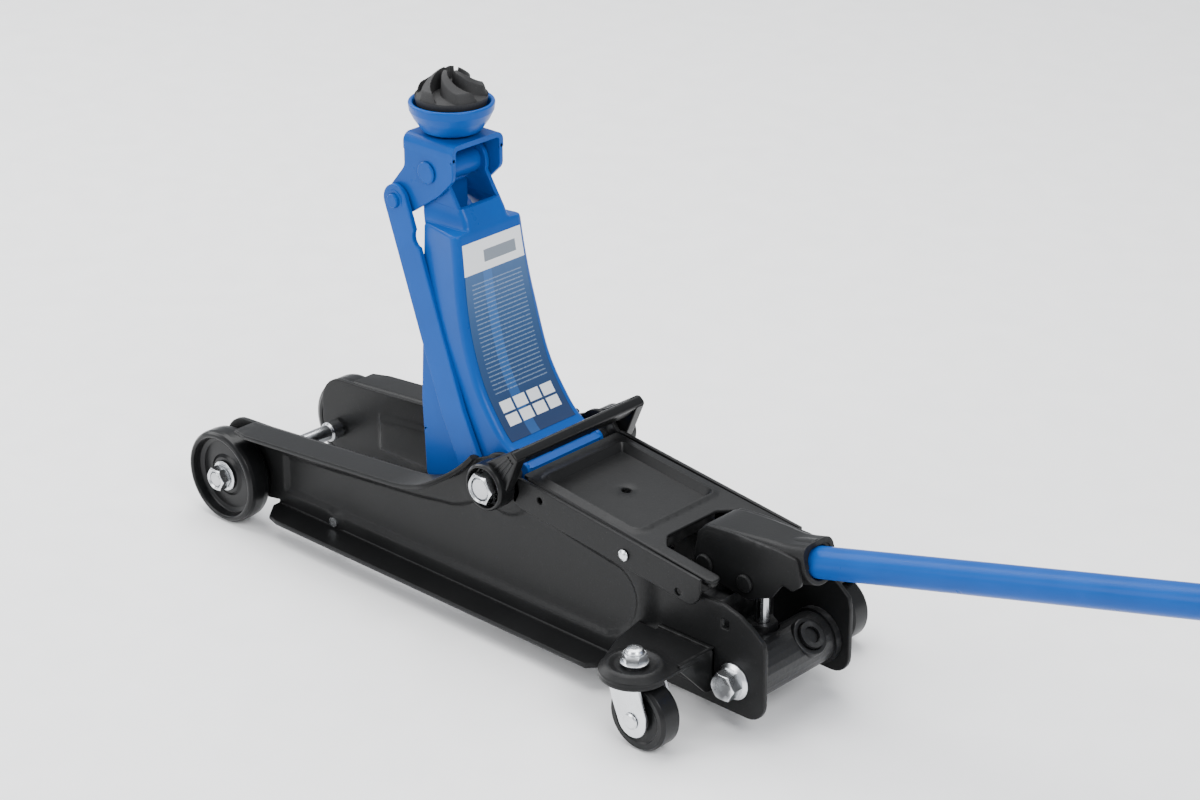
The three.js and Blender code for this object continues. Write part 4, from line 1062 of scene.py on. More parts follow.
    def build(self, shop: Workshop) -> None:
        """Makes both side plates.

        Args:
            shop: Takes the finished pieces.
        """
        whole = self.web().with_others(self.top_flange(), self.lower_flange(), self.strip())
        for side in Side:
            shop.piece(side.named("side_plate_pressing"), whole.on(side), Look.POWDER,
                       "frame", [side.named("side_plate")], sharp=50)


@dataclass
class Cover:
    """The sloping cover with its tray, and the cut-out for the handle socket."""

    front: tuple[float, float] = (-13.5, 99.0)
    slope: float = 6.83
    length: float = 136.5
    half_width: float = 38.6
    cut_depth: float = 45.5

    @staticmethod
    def tray() -> np.ndarray:
        """Gives the tray's outline, measured back from the cover's front edge."""
        return fillet([(-79, -32), (-9, -32), (-9, 32), (-79, 32)], 5, 4)

    def height(self, points: np.ndarray) -> np.ndarray:
        """Gives the top's height: a square tray pressed in, with a raised bead round it.

        Args:
            points: Places on the cover, back from its front edge and across.

        Returns:
            Millimetres up from the flat at each place.
        """
        d = inside_distance(points, self.tray())
        bead = np.exp(-(((d - 0.2) / 1.5) ** 2)) * 1.3
        hole = np.hypot(points[:, 0] + 42, points[:, 1])
        return bead - 3.4 * smoothstep(d, 1.4, 4.2) - 0.5 * (1 - smoothstep(hole, 3.2, 5.5))

    def build(self, shop: Workshop) -> None:
        """Makes the cover.

        Args:
            shop: Takes the finished pieces.
        """
        w, cut = self.half_width, -(self.length - self.cut_depth)
        outline = fillet([
            (0, -w + 1.6), (0, w - 1.6), (-self.length, w - 0.1), (-self.length, 30), (cut - 12, 30),
            (cut - 7, 30),
            (cut, 22), (cut, -18), (cut - 8, -30), (-self.length, -30), (-self.length, 0.1 - w),
        ], [1.5, 1.5, 4, 3.4, 2, 3, 5, 5, 4, 3.4, 4], 5)
        hole = circle(-42, 0, 2.6, 22)
        whole = PressedSheet(outline, 2.2, (hole,), self.height, (self.tray(),), 3.2, 0.7).surface()
        lip_y = np.array([31.0, 30.0, 29.6, 30.4, 32.0, 33.0])
        lip_z = np.array([-0.1, -0.5, -8.5, -9.0, -8.6, -1.0])
        for sign in (1, -1):
            bend = np.radians(np.linspace(90, 0, 5))
            outer = np.column_stack([-2.4 + 2.4 * np.cos(bend), -2.5 + 2.4 * np.sin(bend)])
            section = np.vstack([[(-6, -0.1)], outer, [(0, -12), (-2.2, -12), (-2.2, -3), (-6, -2.2)]])
            skirt = np.array([
                np.column_stack([np.full(len(section), x), sign * (w + section[:, 0]), section[:, 1]])
                for x in np.linspace(-self.length + 8, -4, 12)
            ])
            lip = np.array([
                np.column_stack([np.full(6, x), sign * lip_y, lip_z])
                for x in np.linspace(-self.length + 7, cut - 9, 8)
            ])
            whole = whole.with_others(grid(skirt, close_v=True, cap=True), grid(lip, close_v=True, cap=True))
        fold = np.array([np.column_stack([
            cut + np.array([2.6, 0.6, 0.0, 0.4, 2.6, 3.0]), np.full(6, y),
            np.array([-0.1, -0.4, -7.5, -8.0, -7.6, -1.0])]) for y in np.linspace(-17, 21, 8)])
        whole = whole.with_others(grid(fold, close_v=True, cap=True))
        a = math.radians(self.slope)
        placed = whole.placed((self.front[0], 0, self.front[1]), (math.cos(a), 0, math.sin(a)), (0, 1, 0))
        shop.piece("cover_pressing", placed, Look.POWDER, "frame", ["cover_plate"], sharp=50)
        for side in Side:
            head = revolve([(0, 0), (3.3, 0), (3.3, 1.0), (1.6, 1.8), (0, 1.8)], 32, 0.5)
            placed = head.along_y(-91.2, 41.9, 79.6).on(side)
            shop.piece(side.named("cover_screw_head"), placed, Look.ZINC, "frame",
                [side.named("cover_screw")])


@dataclass
class FrontEnd:
    """The front axle with its wheels, washers and nuts."""

    def wheel(self) -> Surface:
        """Turns one moulded wheel, its recess and hub on the outer side.

        Returns:
            The wheel about its own Z axis, inner side down.
        """
        low, high = node_box("front_wheel_left")
        r = (high[2] - low[2]) / 2
        w = high[1] - low[1]
        profile = [
            (4.8, 0), (10.5, 0), (10.5, 2.6), (r - 8.0, 3.2), (r - 7.0, 0.3), (r - 4.6, 0.3), (r - 1.8, 1.5),
            (r - 0.4, 4.0), (r, 7.5), (r, w - 4.2), (r - 0.5, w - 1.8), (r - 1.8, w - 0.2), (r - 3.0, w),
            (r - 4.1, w - 0.6), (r - 4.9, w - 5.6), (r - 7.5, w - 6.6),
            (13.0, w - 6.2), (11.0, w - 5.0), (4.8, w - 4.9),
        ]
        return revolve(profile, 96, 1.0)

    def build(self, shop: Workshop) -> None:
        """Makes the axle, wheels, washers and nuts.

        Args:
            shop: Takes the finished pieces.
        """
        low = node_box("front_wheel_left")[0]
        x, _, z = node_centre("front_wheel_left")
        end = node_box("front_axle")[1][1]
        axle = revolve([
            (0, -end), (4.0, -end), (4.5, -end + 0.6), (4.5, -35.3), (6.1, -35.3), (6.1, -27.5), (4.9, -26.5),
            (4.9, 26.5), (6.1, 27.5), (6.1, 35.3), (4.5, 35.3), (4.5, end - 0.6), (4.0, end), (0, end),
        ], 48, 0.35).along_y(x, 0, z)
        shop.piece("front_axle_turned", axle, Look.STEEL, "frame", ["front_axle"])
        washer_low, washer_high = node_box("front_washer_left")
        nut_low, nut_high = node_box("front_nut_left")
        for side in Side:
            wheel = self.wheel().along_y(x, low[1], z).on(side)
            shop.piece(side.named("front_wheel_moulding"), wheel, Look.NYLON,
                       side.named("wheel_front"), [side.named("front_wheel")])
            height = washer_high[1] - washer_low[1]
            washer = revolve([(4.8, 0), (9.2, 0), (9.2, height * 0.7), (8.0, height), (4.8, height)], 64, 0.3)
            shop.piece(side.named("front_washer_turned"), washer.along_y(x, washer_low[1], z).on(side),
                       Look.ZINC, "frame", [side.named("front_washer")])
            nut = hexagon_nut(13.0, 4.7, nut_high[1] - nut_low[1]).along_y(x, nut_low[1], z).on(side)
            shop.piece(side.named("front_nut_forged"), nut, Look.ZINC, "frame",
                [side.named("front_nut")])


@dataclass
class LiftArm:
    """The blue arm: a pressed channel with a neck and ears, its cross tubes and its label."""

    half_width: float = 30.0
    shoulder_half: float = 27.0
    neck_half: float = 16.2
    thickness: float = 3.0
    neck_height: float = 30.7

    def shoulder_z(self) -> float:
        """Gives the height of the shoulders, where the neck starts."""
        return saddle_axis()[1] - self.neck_height

    def back_line(self) -> np.ndarray:
        """Gives the rear face's curve from the tail to the shoulders, as (x, z)."""
        tip, shoulder = saddle_axis(), self.shoulder_z()
        return smooth_path([
            (-11, 98.5), (3.2, 104.8), (14.4, 115.3), (29, 138.3),
            (tip[0] - 34.2, shoulder - 39.5), (tip[0] - 27.9, shoulder),
        ], 7)

    def half_at(self, z: np.ndarray | float) -> np.ndarray:
        """Gives the half width at a height: wide below, drawn in to the shoulders."""
        shoulder = self.shoulder_z()
        return self.half_width + (self.shoulder_half - self.half_width) * smoothstep(z, shoulder - 60,
            shoulder)

    def front_half_at(self, z: float) -> float:
        """Gives how far the front edges stand from the middle: they draw in beside the links.

        Args:
            z: The height.

        Returns:
            Millimetres from the middle.
        """
        link_foot, link_top = node_box("link_left")[1][1] - 3.2, node_box("link_left")[0][1]
        fall = (saddle_axis()[1] - 20.6 - z) / 0.9
        return float(min(self.half_width, link_top + (link_foot - link_top) * fall / 120 - 0.6))

    @staticmethod
    def front_at(z: float) -> float:
        """Gives the cheek's front edge at a height."""
        return 69.3 + (z - 70.9) * 0.0485

    def section(self, back: float, front: float, half: float, z: float, wall: float,
        rear: float = 0.0) -> np.ndarray:
        """Draws a level section of the channel, open towards the front, with bent corners.

        The front edges stand half apart from the middle, and the back corners rear, if given.

        Args:
            back: X of the rear face.
            front: X of the front edges.
            half: Half the distance between the front edges.
            z: The height.
            wall: The rear wall's thickness along X.
            rear: Half width at the back, the same as half where it is 0.

        Returns:
            The section's points.
        """
        t = self.thickness
        w = rear or half
        bend = min(4.5, w * 0.25)
        inner_back = min(back + wall, front - 1)
        points = [
            (front, half), (back, w), (back, -w), (front, -half),
            (front, -half + t), (inner_back, -w + t), (inner_back, w - t), (front, half - t),
        ]
        loop = fillet(points, [0.5, bend, bend, 0.5, 0.5, bend * 0.5, bend * 0.5, 0.5], 5)
        return np.column_stack([loop, np.full(len(loop), z)])

    def channel(self) -> Surface:
        """Lofts the channel from the tail to the neck.

        Returns:
            The channel with filled ends.
        """
        line = self.back_line()
        slope = np.gradient(line, axis=0)
        wall = self.thickness / np.maximum(slope[:, 1] / np.hypot(slope[:, 0], slope[:, 1]), 0.45)
        rows = [self.section(x, self.front_at(z), self.front_half_at(z), z, w, float(self.half_at(z)))
                for (x, z), w in zip(line, wall)]
        tip, shoulder = saddle_axis(), self.shoulder_z()
        for back, front, half, rear, rise in [
            (-27.7, 2.0, 20.2, 26.9, 0.8), (-27.5, 2.3, 20.1, 26.4, 1.6), (-27.3, 2.5, 20.0, 24.5, 2.0),
            (-27.2, 2.7, 19.9, 19.0, 2.3), (-27.0, 3.1, 19.7, 17.0, 3.0), (-26.6, 3.8, 19.2, 16.4, 4.4),
            (-25.8, 5.0, 18.3, 16.2, 6.6), (-24.9, 6.0, 17.2, 16.2, 8.6), (-23.4, 7.0, 16.5, 16.2, 11),
            (-21.9, 8.0, self.neck_half, 16.2, 13.5),
        ]:
            rows.append(self.section(tip[0] + back, tip[0] + front, half, shoulder + rise, 3.2, rear))
        return grid(np.array(rows), close_v=True, cap=True)

    def cheeks(self) -> Surface:
        """Cuts the lower cheeks that carry the ram's pin, and the ears round the saddle pin.

        Returns:
            The four sheets.
        """
        ram_x, _, ram_z = node_centre("ram_pin")
        tip = saddle_axis()
        lower = np.vstack([
            [(self.front_at(101), 101), (-9.5, 100.5), (-12.3, 88), (-7, 81.2), (12, 62)],
            arc_points(ram_x, ram_z, 10, 200, 290, 8), [(self.front_at(70), 68)],
        ])
        lower = fillet(lower, [0.4, 4, 5, 6, 12] + [0] * 9 + [8], 5)
        ear = np.vstack([[(tip[0] - 20.9, tip[1] - 19.2), (tip[0] + 8, tip[1] - 19.2)],
                         arc_points(tip[0], tip[1], 12, -20, 200, 22)])
        return joined([
            *cheek_pair(lower, self.half_width, self.thickness, 8.0),
            *cheek_pair(ear, self.neck_half, self.thickness, 8.0),
        ])

    def tubes(self) -> Surface:
        """Turns the pivot tube and the ears' tube, and cuts the neck's front web.

        Returns:
            The two tubes and the neck's front web.
        """
        tip = saddle_axis()
        pivot = revolve([(6.9, -29), (10.2, -29), (10.2, 29), (6.9, 29)], 48, 0.4)
        ears = revolve([(5.2, -15), (8.0, -15), (8.0, 15), (5.2, 15)], 40, 0.4)
        web = PressedSheet(rectangle(27.4, 27, 2), 2.6, (), None, (), 6.0, 0.5).surface()
        return pivot.along_y(0, 0, PIVOT_Z).with_others(
            ears.along_y(tip[0], 0, tip[1]),
            web.placed((tip[0] + 5.4, 0, tip[1] - 25.4), (0, 1, 0), (0, 0, 1)))

    def label(self, shop: Workshop) -> None:
        """Lays the blank printed film on the arm's rear face.

        Args:
            shop: Takes the finished pieces.
        """
        line = self.back_line()
        line = line[(line[:, 1] > 107) & (line[:, 1] < saddle_axis()[1] - 32)]
        tangent = unit_tangents(line)
        normal = np.column_stack([-tangent[:, 1], tangent[:, 0]])
        across = np.linspace(-1, 1, 13)
        rows, film = [], []
        length = np.append(0, np.cumsum(np.hypot(*np.diff(line, axis=0).T)))
        length /= length[-1]
        for lift in (0.28, 0.02):
            for p, n, s in zip(line, normal, length):
                w = float(self.half_at(p[1])) - 4.9
                rows.append(np.column_stack([
                    np.full(13, p[0] + n[0] * lift), across * w, np.full(13, p[1] + n[1] * lift)]))
                film.append(np.column_stack([(across + 1) / 2, np.full(13, s)]))
        half = len(line)
        front = grid(np.array(rows[:half]))
        back = grid(np.array(rows[half:]))
        whole = front.with_others(Surface(back.points, tuple(f[::-1] for f in back.faces)))
        ring = [j for j in range(13)] + [i * 13 + 12 for i in range(1, half)]
        ring += [(half - 1) * 13 + j for j in range(11, -1, -1)] + [i * 13 for i in range(half - 2, 0, -1)]
        offset = half * 13
        side_faces = tuple((a, b, b + offset, a + offset) for a, b in zip(ring, ring[1:] + ring[:1]))
        whole = Surface(whole.points, whole.faces + side_faces)
        shop.piece("label_film_blank", whole, LabelFilm(), "arm", ["label_plate"],
            film=np.vstack(film))

    def build(self, shop: Workshop) -> None:
        """Makes the arm, its pins and its label.

        Args:
            shop: Takes the finished pieces.
        """
        whole = self.channel().with_others(self.cheeks(), self.tubes())
        shop.piece("lift_arm_pressing", whole, Look.BLUE, "arm", ["lift_arm"], sharp=50)
        self.label(shop)
        tip = saddle_axis()
        pin = revolve([(0, -21.3), (5.4, -21.3), (6.2, -20.7), (6.2, -19.9), (5, -19.9), (5, 19.9),
            (6.2, 19.9),
                       (6.2, 20.7), (5.4, 21.3), (0, 21.3)], 48, 0.35)
        shop.piece("saddle_pin_turned", pin.along_y(tip[0], 0, tip[1]), Look.BLUE,
                   "arm", ["saddle_pin"])
        ram_x, _, ram_z = node_centre("ram_pin")
        ram_pin = revolve([(0, -30.6), (4.4, -30.6), (5, -30), (5, 30), (4.4, 30.6), (0, 30.6)], 40, 0.3)
        shop.piece("ram_pin_turned", ram_pin.along_y(ram_x, 0, ram_z), Look.STEEL, "arm",
            ["ram_pin"])


@dataclass
class SaddleHead:
    """The bracket on the arm's tip, the cup that turns in it and the rubber pad."""

    outer_y: float = 19.6
    thickness: float = 3.0

    def bracket(self) -> Surface:
        """Bends the bracket: a flat top, two rounded bends and two cheeks.

        Returns:
            The bracket.
        """
        top = node_box("saddle_bracket")[1][2]
        tip = saddle_axis()
        d = (tip[0] + 22.5, tip[1] - 20.6)
        y, t = self.outer_y, self.thickness
        bend = np.radians(np.linspace(0, 90, 7))
        outer = np.column_stack([y - 5 + 5 * np.cos(bend), top - 5 + 5 * np.sin(bend)])
        inner = np.column_stack([y - 5 + 2 * np.cos(bend[::-1]), top - 5 + 2 * np.sin(bend[::-1])])
        right = np.vstack([[(y, top - 9)], outer])
        left = right[::-1] * [-1, 1]
        under = np.vstack([inner, [(y - t, top - 9)]])
        under_left = (under * [-1, 1])[::-1]
        section = np.vstack([right, left, under_left, under])
        places = np.linspace(tip[0] - 19.4, tip[0] + 18.1, 9)
        rows = [np.column_stack([np.full(len(section), x), section]) for x in places]
        whole = grid(np.array(rows), close_v=True, cap=True)
        outline = np.vstack([
            [(tip[0] - 19.4, top - 7), (tip[0] - 19.4, tip[1] - 1), (tip[0] - 8, d[1] + 8.6),
            (d[0] - 11, d[1] - 4.6)],
            arc_points(d[0], d[1], 9.5, -120, 30, 12), [(tip[0] + 18.1, d[1] + 20), (tip[0] + 18.1, top - 7)],
        ])
        outline = fillet(outline, [0.3, 6, 6, 5] + [0] * 13 + [6, 0.3], 4)
        return whole.with_others(*cheek_pair(outline, y, t, 7.0))

    def pad(self) -> Surface:
        """Moulds the rubber pad: a dome whose top stands up in five swirled blades.

        Returns:
            The pad.
        """
        low, high = node_box("saddle_pad")
        rim = node_box("saddle_cup")[1][2]
        rings, steps, blades = 44, 180, 5
        u = np.linspace(0, 1, rings)
        phi = np.linspace(0, 2 * math.pi, steps, endpoint=False)
        r = 20.0 * np.minimum(1, u * 1.35)[:, None] * np.ones(steps)
        side = np.clip((u - 1 / 1.35) / (1 - 1 / 1.35), 0, 1)[:, None]
        swirl = phi[None] - 0.085 * r
        wave = np.cos(blades * swirl)
        blade = smoothstep(wave, -0.15, 0.22) * smoothstep(r, 2.0, 4.5) * (1 - smoothstep(r, 17.6, 19.6))
        hub = 1 - smoothstep(r, 3.2, 4.2)
        dome = rim + 6.4 - 4.2 * (r / 20) ** 3
        lean = 1 - 0.62 * smoothstep(r, 1, 18)
        z = dome + (high[2] - rim - 6.6) * np.maximum(blade * lean, hub * 0.35) * (1 - side)
        r_side = 20 - 5.5 * side**1.6
        z = np.where(side > 0, rim + 3.4 - (rim + 3.4 - low[2]) * side, z)
        r = np.where(side > 0, r_side, r)
        ring = np.stack([r * np.cos(phi), r * np.sin(phi), z], -1)
        tip = saddle_axis()
        shell = grid(ring, close_v=True)
        floor = tuple(range((rings - 1) * steps, rings * steps))
        return Surface(shell.points + [tip[0], 0, 0], shell.faces + (floor,))

    def build(self, shop: Workshop) -> None:
        """Makes the bracket, cup and pad.

        Args:
            shop: Takes the finished pieces.
        """
        shop.piece("saddle_bracket_pressing", self.bracket(), Look.BLUE, "saddle_head",
                   ["saddle_bracket"], sharp=50)
        low, high = node_box("saddle_cup")
        foot = high[2] - 17.4
        tip = saddle_axis()
        cup = revolve([
            (0, low[2]), (6, low[2]), (6, foot), (13.6, foot), (16.6, foot + 1.4), (21.0, foot + 8.0),
            (23.2, foot + 12.5), (23.7, high[2] - 1.0), (23.2, high[2]), (21.6, high[2]),
            (20.9, high[2] - 1.5),
            (19.8, foot + 10.2), (14.6, foot + 4.7), (0, foot + 4.7),
        ], 96, 1.2)
        shop.piece("saddle_cup_turned", cup.placed((tip[0], 0, 0), (1, 0, 0), (0, 1, 0)), Look.BLUE,
                   "saddle", ["saddle_cup"], sharp=60)
        shop.piece("saddle_pad_moulding", self.pad(), Look.RUBBER, "saddle",
            ["saddle_pad"], sharp=60)
        for side in Side:
            low, high = node_box("link_top_pin_left")
            pin = revolve([(0, 0), (4, 0), (4, high[1] - low[1] - 0.5), (3.5, high[1] - low[1]),
                (0, high[1] - low[1])], 32, 0.3)
            middle = ((low[0] + high[0]) / 2, low[1], (low[2] + high[2]) / 2)
            clip = revolve([(4.1, 6.0), (6.0, 6.0), (6.0, 6.9), (4.1, 6.9)], 32, 0.2)
            shop.piece(side.named("link_top_pin_clip"), pin.with_others(clip).along_y(*middle).on(side),
                       Look.BLUE, "saddle_head", [side.named("link_top_pin")])


@dataclass
class Links:
    """The two parallel links that keep the saddle level."""

    half_width: float = 9.0
    thickness: float = 3.2

    def strap(self) -> Surface:
        """Cuts one strap with round ends and a notch, and steps it outwards below the shoulder.

        Returns:
            The left strap.
        """
        foot = node_centre("link_foot_pin_left")[[0, 2]]
        top = node_centre("link_top_pin_left")[[0, 2]]
        along = top - foot
        length = float(np.hypot(*along))
        along /= length
        low, high = node_box("link_left")
        inner_top, inner_foot = low[1], high[1] - self.thickness
        w = self.half_width
        notch = arc_points(length - 24, w + 3.5, 6.2, -35, -145, 8)
        outline = np.vstack([
            arc_points(length, 0, w, -90, 90, 18), notch, arc_points(0, 0, w, 90, 270, 18),
        ])

        def lean(points: np.ndarray) -> np.ndarray:
            """Gives the outer face's height: out in a straight line over 120 mm below the top pin."""
            s = length - points[:, 0]
            return inner_top + (inner_foot - inner_top) * np.clip(s / 120, 0, 1) + self.thickness

        sheet = PressedSheet(outline, self.thickness, (), lean, (), 5.0, 0.6).surface()
        across = np.array([-along[1], along[0]])
        x_axis = np.array([along[0], 0, along[1]])
        y_axis = np.array([across[0], 0, across[1]])
        points = sheet.points @ np.array([x_axis, y_axis, [0.0, 1.0, 0.0]])
        return Surface(points + [foot[0], 0, foot[1]], sheet.faces)

    def build(self, shop: Workshop) -> None:
        """Makes both links.

        Args:
            shop: Takes the finished pieces.
        """
        for side in Side:
            shop.piece(side.named("link_strap"), self.strap().on(side), Look.BLUE,
                       side.named("parallel_link"), [side.named("link")], sharp=55)


@dataclass
class CarryHandle:
    """The black carry handle with its hubs, and the pivot's shaft and nuts."""

    angle: float = 130.0

    def build(self, shop: Workshop) -> None:
        """Makes the handle, shaft and nuts.

        Args:
            shop: Takes the finished pieces.
        """
        low, high = node_box("main_pivot_nut_left")
        along = np.array([math.cos(math.radians(self.angle)), 0, math.sin(math.radians(self.angle))])
        square = np.array([-along[2], 0, along[0]])
        pivot = np.array([0, 0, PIVOT_Z])
        hub = revolve([
            (9.6, 43.2), (13.4, 43.2), (13.4, 44.4), (13.4, 53.4), (12.4, 54.8), (11.4, 54.8),
            (11.1, 49.4), (9.6, 49.0),
        ], 64, 0.8)
        parts: list[Surface] = []
        for side in Side:
            parts.append(hub.along_y(*pivot).on(side))
            reach = np.linspace(9, 30.5, 9)
            path = np.array([pivot + along * v + [0, side.value * 47.0, 0] for v in reach])
            sections = [rectangle(7.4, 2 * (10.0 - 6.6 * (v - 9) / 21.5), 1.4) for v in reach]
            parts.append(sweep(sections, path, (0, 1, 0)))
            for at in (-3.6, 0, 3.6):
                rib = np.array([
                    pivot + along * v + square * (at * (1 - 0.5 * (v - 11) / 17)) + [0, side.value * 50.8, 0]
                    for v in np.linspace(12, 27, 6)
                ])
                parts.append(sweep(rectangle(0.9, 1.3, 0.4), rib, (0, 1, 0)))
        bar = np.array([pivot + along * 26.0 + [0, y, 0] for y in np.linspace(-50.4, 50.4, 40)])
        grip = fillet([(-3.2, -5.6), (3.2, -5.6), (3.2, 5.6), (-3.2, 5.6)], 2.2, 5)
        parts.append(sweep(grip, bar, square))
        for y in (-15, 15):
            tab = np.array([pivot + along * v + [0, y, 0] for v in (18.6, 19.6, 21)])
            parts.append(sweep(rectangle(2.2, 5.0, 0.7), tab, (0, 1, 0)))
        whole = joined(parts)
        shop.piece("carry_handle_moulding", whole, Look.NYLON, "carry", ["carry_handle"],
            sharp=50)
        for side in Side:
            nut = hexagon_nut(15.8, 6.7, high[1] - low[1])
            shop.piece(side.named("main_pivot_nut_forged"), nut.along_y(0, low[1], PIVOT_Z).on(side),
                       Look.ZINC, "frame", [side.named("main_pivot_nut")])
        end = node_box("main_pivot_shaft")[1][1]
        shaft = revolve([(0, -end), (5.6, -end), (6.5, -end + 0.9), (6.5, end - 0.9), (5.6, end),
            (0, end)], 48, 0.3)
        shop.piece("main_pivot_shaft_turned", shaft.along_y(0, 0, PIVOT_Z), Look.STEEL,
                   "frame", ["main_pivot_shaft"])


@dataclass
class HandleSocket:
    """The pressed socket, its round mouth and pins, and the handle in it."""

    slope: float = 14.8
    point: tuple[float, float] = (-182.7, 92.5)
    half_width: float = 14.0

    def on_handle(self, s: float) -> np.ndarray:
        """Gives a point on the handle's axis, s millimetres beyond the mouth."""
        a = math.radians(self.slope)
        return np.array([self.point[0] - math.cos(a) * s, 0, self.point[1] + math.sin(a) * s])

    def along_handle(self, surface: Surface, s: float = 0.0) -> Surface:
        """Stands a turned surface on the handle's axis."""
        a = math.radians(self.slope)
        return surface.placed(self.on_handle(s), (0, 1, 0), (-math.sin(a), 0, -math.cos(a)))

    def build(self, shop: Workshop) -> None:
        """Makes the socket, pins, tube and end cap.

        Args:
            shop: Takes the finished pieces.
        """
        w, t = self.half_width, 2.7
        piston = (-151.0, 74.0)
        pin = (-123.5, 75.8)
        cheek = np.vstack([
            [(-116.5, 84.5), (-118, 93), (-124, 98.2), (-142, 99.6), (-170, 99.6), (-184.5, 98.5),
            (-187.5, 84.5),
             (-181.5, 79.5), (-175.5, 81.5), (-168, 71)],
            arc_points(*piston, 9.5, 235, 300, 5), [(-134, 66.5)], arc_points(*pin, 9, 250, 340, 6),
        ])
        cheek = fillet(cheek, [1.5, 4, 4, 6, 5, 3, 3, 2.5, 3, 4] + [0] * 6 + [4] + [0] * 7, 5)
        whole = joined(cheek_pair(cheek, w, t, 6.0))
        back = smooth_path([
            (-116.7, 0, 86), (-118, 0, 92.4), (-123.5, 0, 97.9), (-142, 0, 100), (-158, 0, 101.2),
            (-172, 0, 102.0), (-186, 0, 105.4),
        ], 5)
        sections = []
        for u in np.linspace(0, 1, len(back)):
            round_off = float(smoothstep(u, 0.35, 1.0))
            wide, leg, r = w - 1.9 * round_off, 7 + 5.0 * round_off, 3.4 + 8.0 * round_off
            sections.append(fillet(
                [(-wide, leg), (-wide, 0), (wide, 0), (wide, leg), (wide - t, leg), (wide - t, t),
                (t - wide, t),
                 (t - wide, leg)], [0.4, r, r, 0.4, 0.4, r - 2.2, r - 2.2, 0.4], 7))
        whole = whole.with_others(sweep(sections, back, (0, 1, 0)))
        mouth = revolve([(8.85, -24), (12.1, -24), (12.1, 5.0), (11.6, 6.0), (9.6, 6.0), (8.85, 5.0)], 64,
            0.5)
        whole = whole.with_others(self.along_handle(mouth))
        shop.piece("handle_socket_pressing", whole, Look.POWDER, "socket",
            ["handle_socket"], sharp=50)
        head = w + 0.3
        for name, place, r, shaft, body in (
            ("socket_pivot_pin", pin, 5.4, 4.0, "frame"), ("piston_pin", piston, 5.0, 3.2, "socket"),
        ):
            made = revolve([
                (0, -head - 1.8), (r - 0.8, -head - 1.8), (r, -head - 1.1), (r, -head), (shaft, -head),
                (shaft, head),
                (r, head), (r, head + 1.1), (r - 0.8, head + 1.8), (0, head + 1.8),
            ], 40, 0.3).along_y(place[0], 0, place[1])
            shop.piece(f"{name}_headed", made, Look.POWDER, body, [name])
        tube = revolve([(6.8, -20), (8.5, -20), (8.5, 430), (6.8, 430)], 64, 0.3)
        shop.piece("handle_tube_drawn", self.along_handle(tube), Look.BLUE, "handle",
            ["handle_tube"])
        cap = revolve([
            (0, 418), (6.4, 418), (6.4, 430.3), (8.5, 430.3), (8.5, 441.2), (7.6, 443.2), (5.5, 444),
            (0, 444),
        ], 64, 0.6)
        shop.piece("handle_end_cap_moulding", self.along_handle(cap), Look.NYLON, "handle",
                   ["handle_end_cap"])


